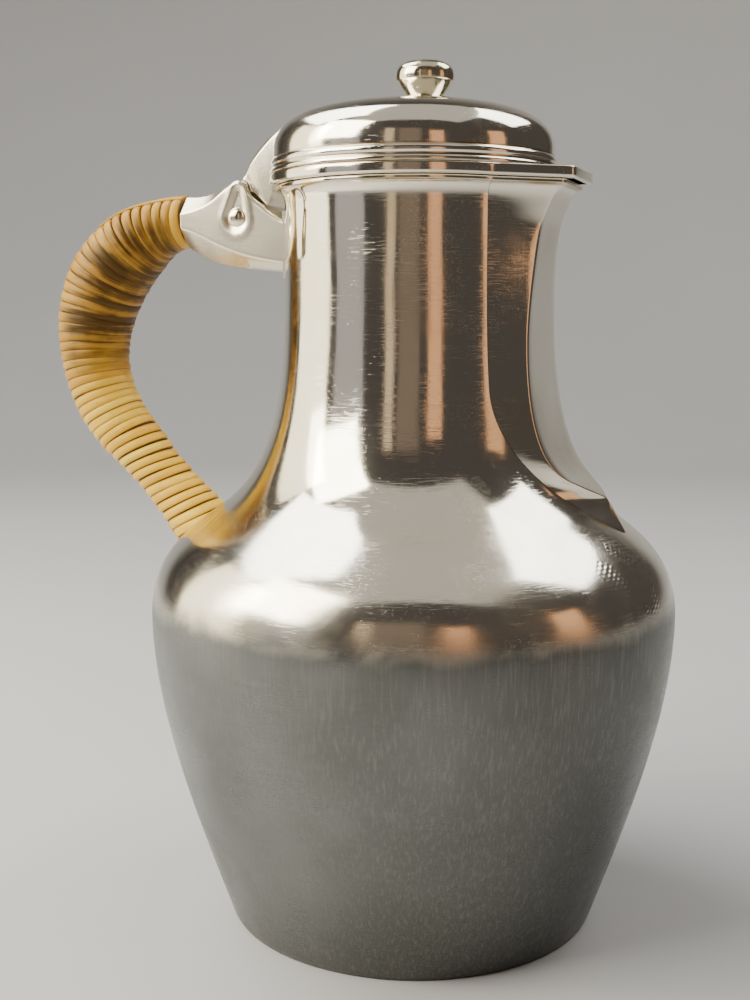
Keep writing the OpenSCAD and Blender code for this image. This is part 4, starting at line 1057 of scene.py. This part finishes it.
def sweep():
    """Plain round floor that curves up behind the pot into a plain backdrop."""
    ways = [(r, 0.0) for r in np.linspace(100.0, FLOOR_FLAT, 8)]
    ways += [(FLOOR_FLAT + FLOOR_BEND * sin(t), FLOOR_BEND * (1 - cos(t)))
             for t in np.linspace(0, TAU / 4, 25)[1:]]
    ways.append((FLOOR_FLAT + FLOOR_BEND, FLOOR_BEND + WALL_H))
    runs = np.cumsum([math.dist(a, b) for a, b in zip([(0.0, 0.0)] + ways, ways)])
    behind = math.atan2(-CAMERA_MM[1], -CAMERA_MM[0])
    verts = [(0.0, 0.0, 0.0)]
    for a in -np.arange(FLOOR_STEPS) * TAU / FLOOR_STEPS:
        off = math.degrees(abs(math.remainder(a - behind, TAU)))
        rise = step(off, BACKDROP_END_A, BACKDROP_FULL_A)
        for (r, z), run in zip(ways, runs):
            out = rise * r + (1 - rise) * run
            verts.append((out * cos(a), out * sin(a), rise * z))
    n = len(ways)
    faces = [(0, 1 + (i + 1) % FLOOR_STEPS * n, 1 + i * n) for i in range(FLOOR_STEPS)]
    floor = mesh_object("floor", verts, faces + grid(FLOOR_STEPS, n, 1, wrap=(True, False)))
    floor.data.materials.append(floor_material())
    shade(floor, 60)


# ---- dressing of the part ----
def dress(names, material):
    """Gives the frame's own nodes a better material."""
    for name in names:
        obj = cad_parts[name]
        if not obj.material_slots:
            obj.data.materials.append(material)
        for place in obj.material_slots:
            place.material = material


camera()
stage()

bright = silver("silver_bright", seed=0.4, seams=(NECK_TOP,))
body = silver("silver_body", seed=0.0, satin=True)
lid = silver("silver_lid", seed=1.7, turned=0.6, seams=[FLANGE_TOP + a * MOULDING_H for a in (0, 0.4, 1)])
fittings = silver("silver_fittings", FITTING_SILVER, base_rough=0.22, seed=2.6, turned=0.4, hairs=0.15)
warm = silver("silver_warm", WARM_SILVER, WARM_WORN, base_rough=0.10, seed=3.3, turned=0.4)

body_shell(body)
spout(bright)
mouth_rim(bright)
lid_flange(lid)
lid_moulding(lid)
lid_dome(lid)
lid_leaf(fittings)
finial(warm)
handle_socket(fittings)
socket_rivet(warm)
cane_binding(cane_material())

dress(["base_disc", "lid_bezel"], body)
dress(["socket_plate", "hinge_knuckles_pot", "hinge_pin", "hinge_knuckle_lid", "handle_peg"], fittings)
dress(["peg_pin", "finial_washer", "finial_nut"], warm)
dress(["handle_core"], wood_material())
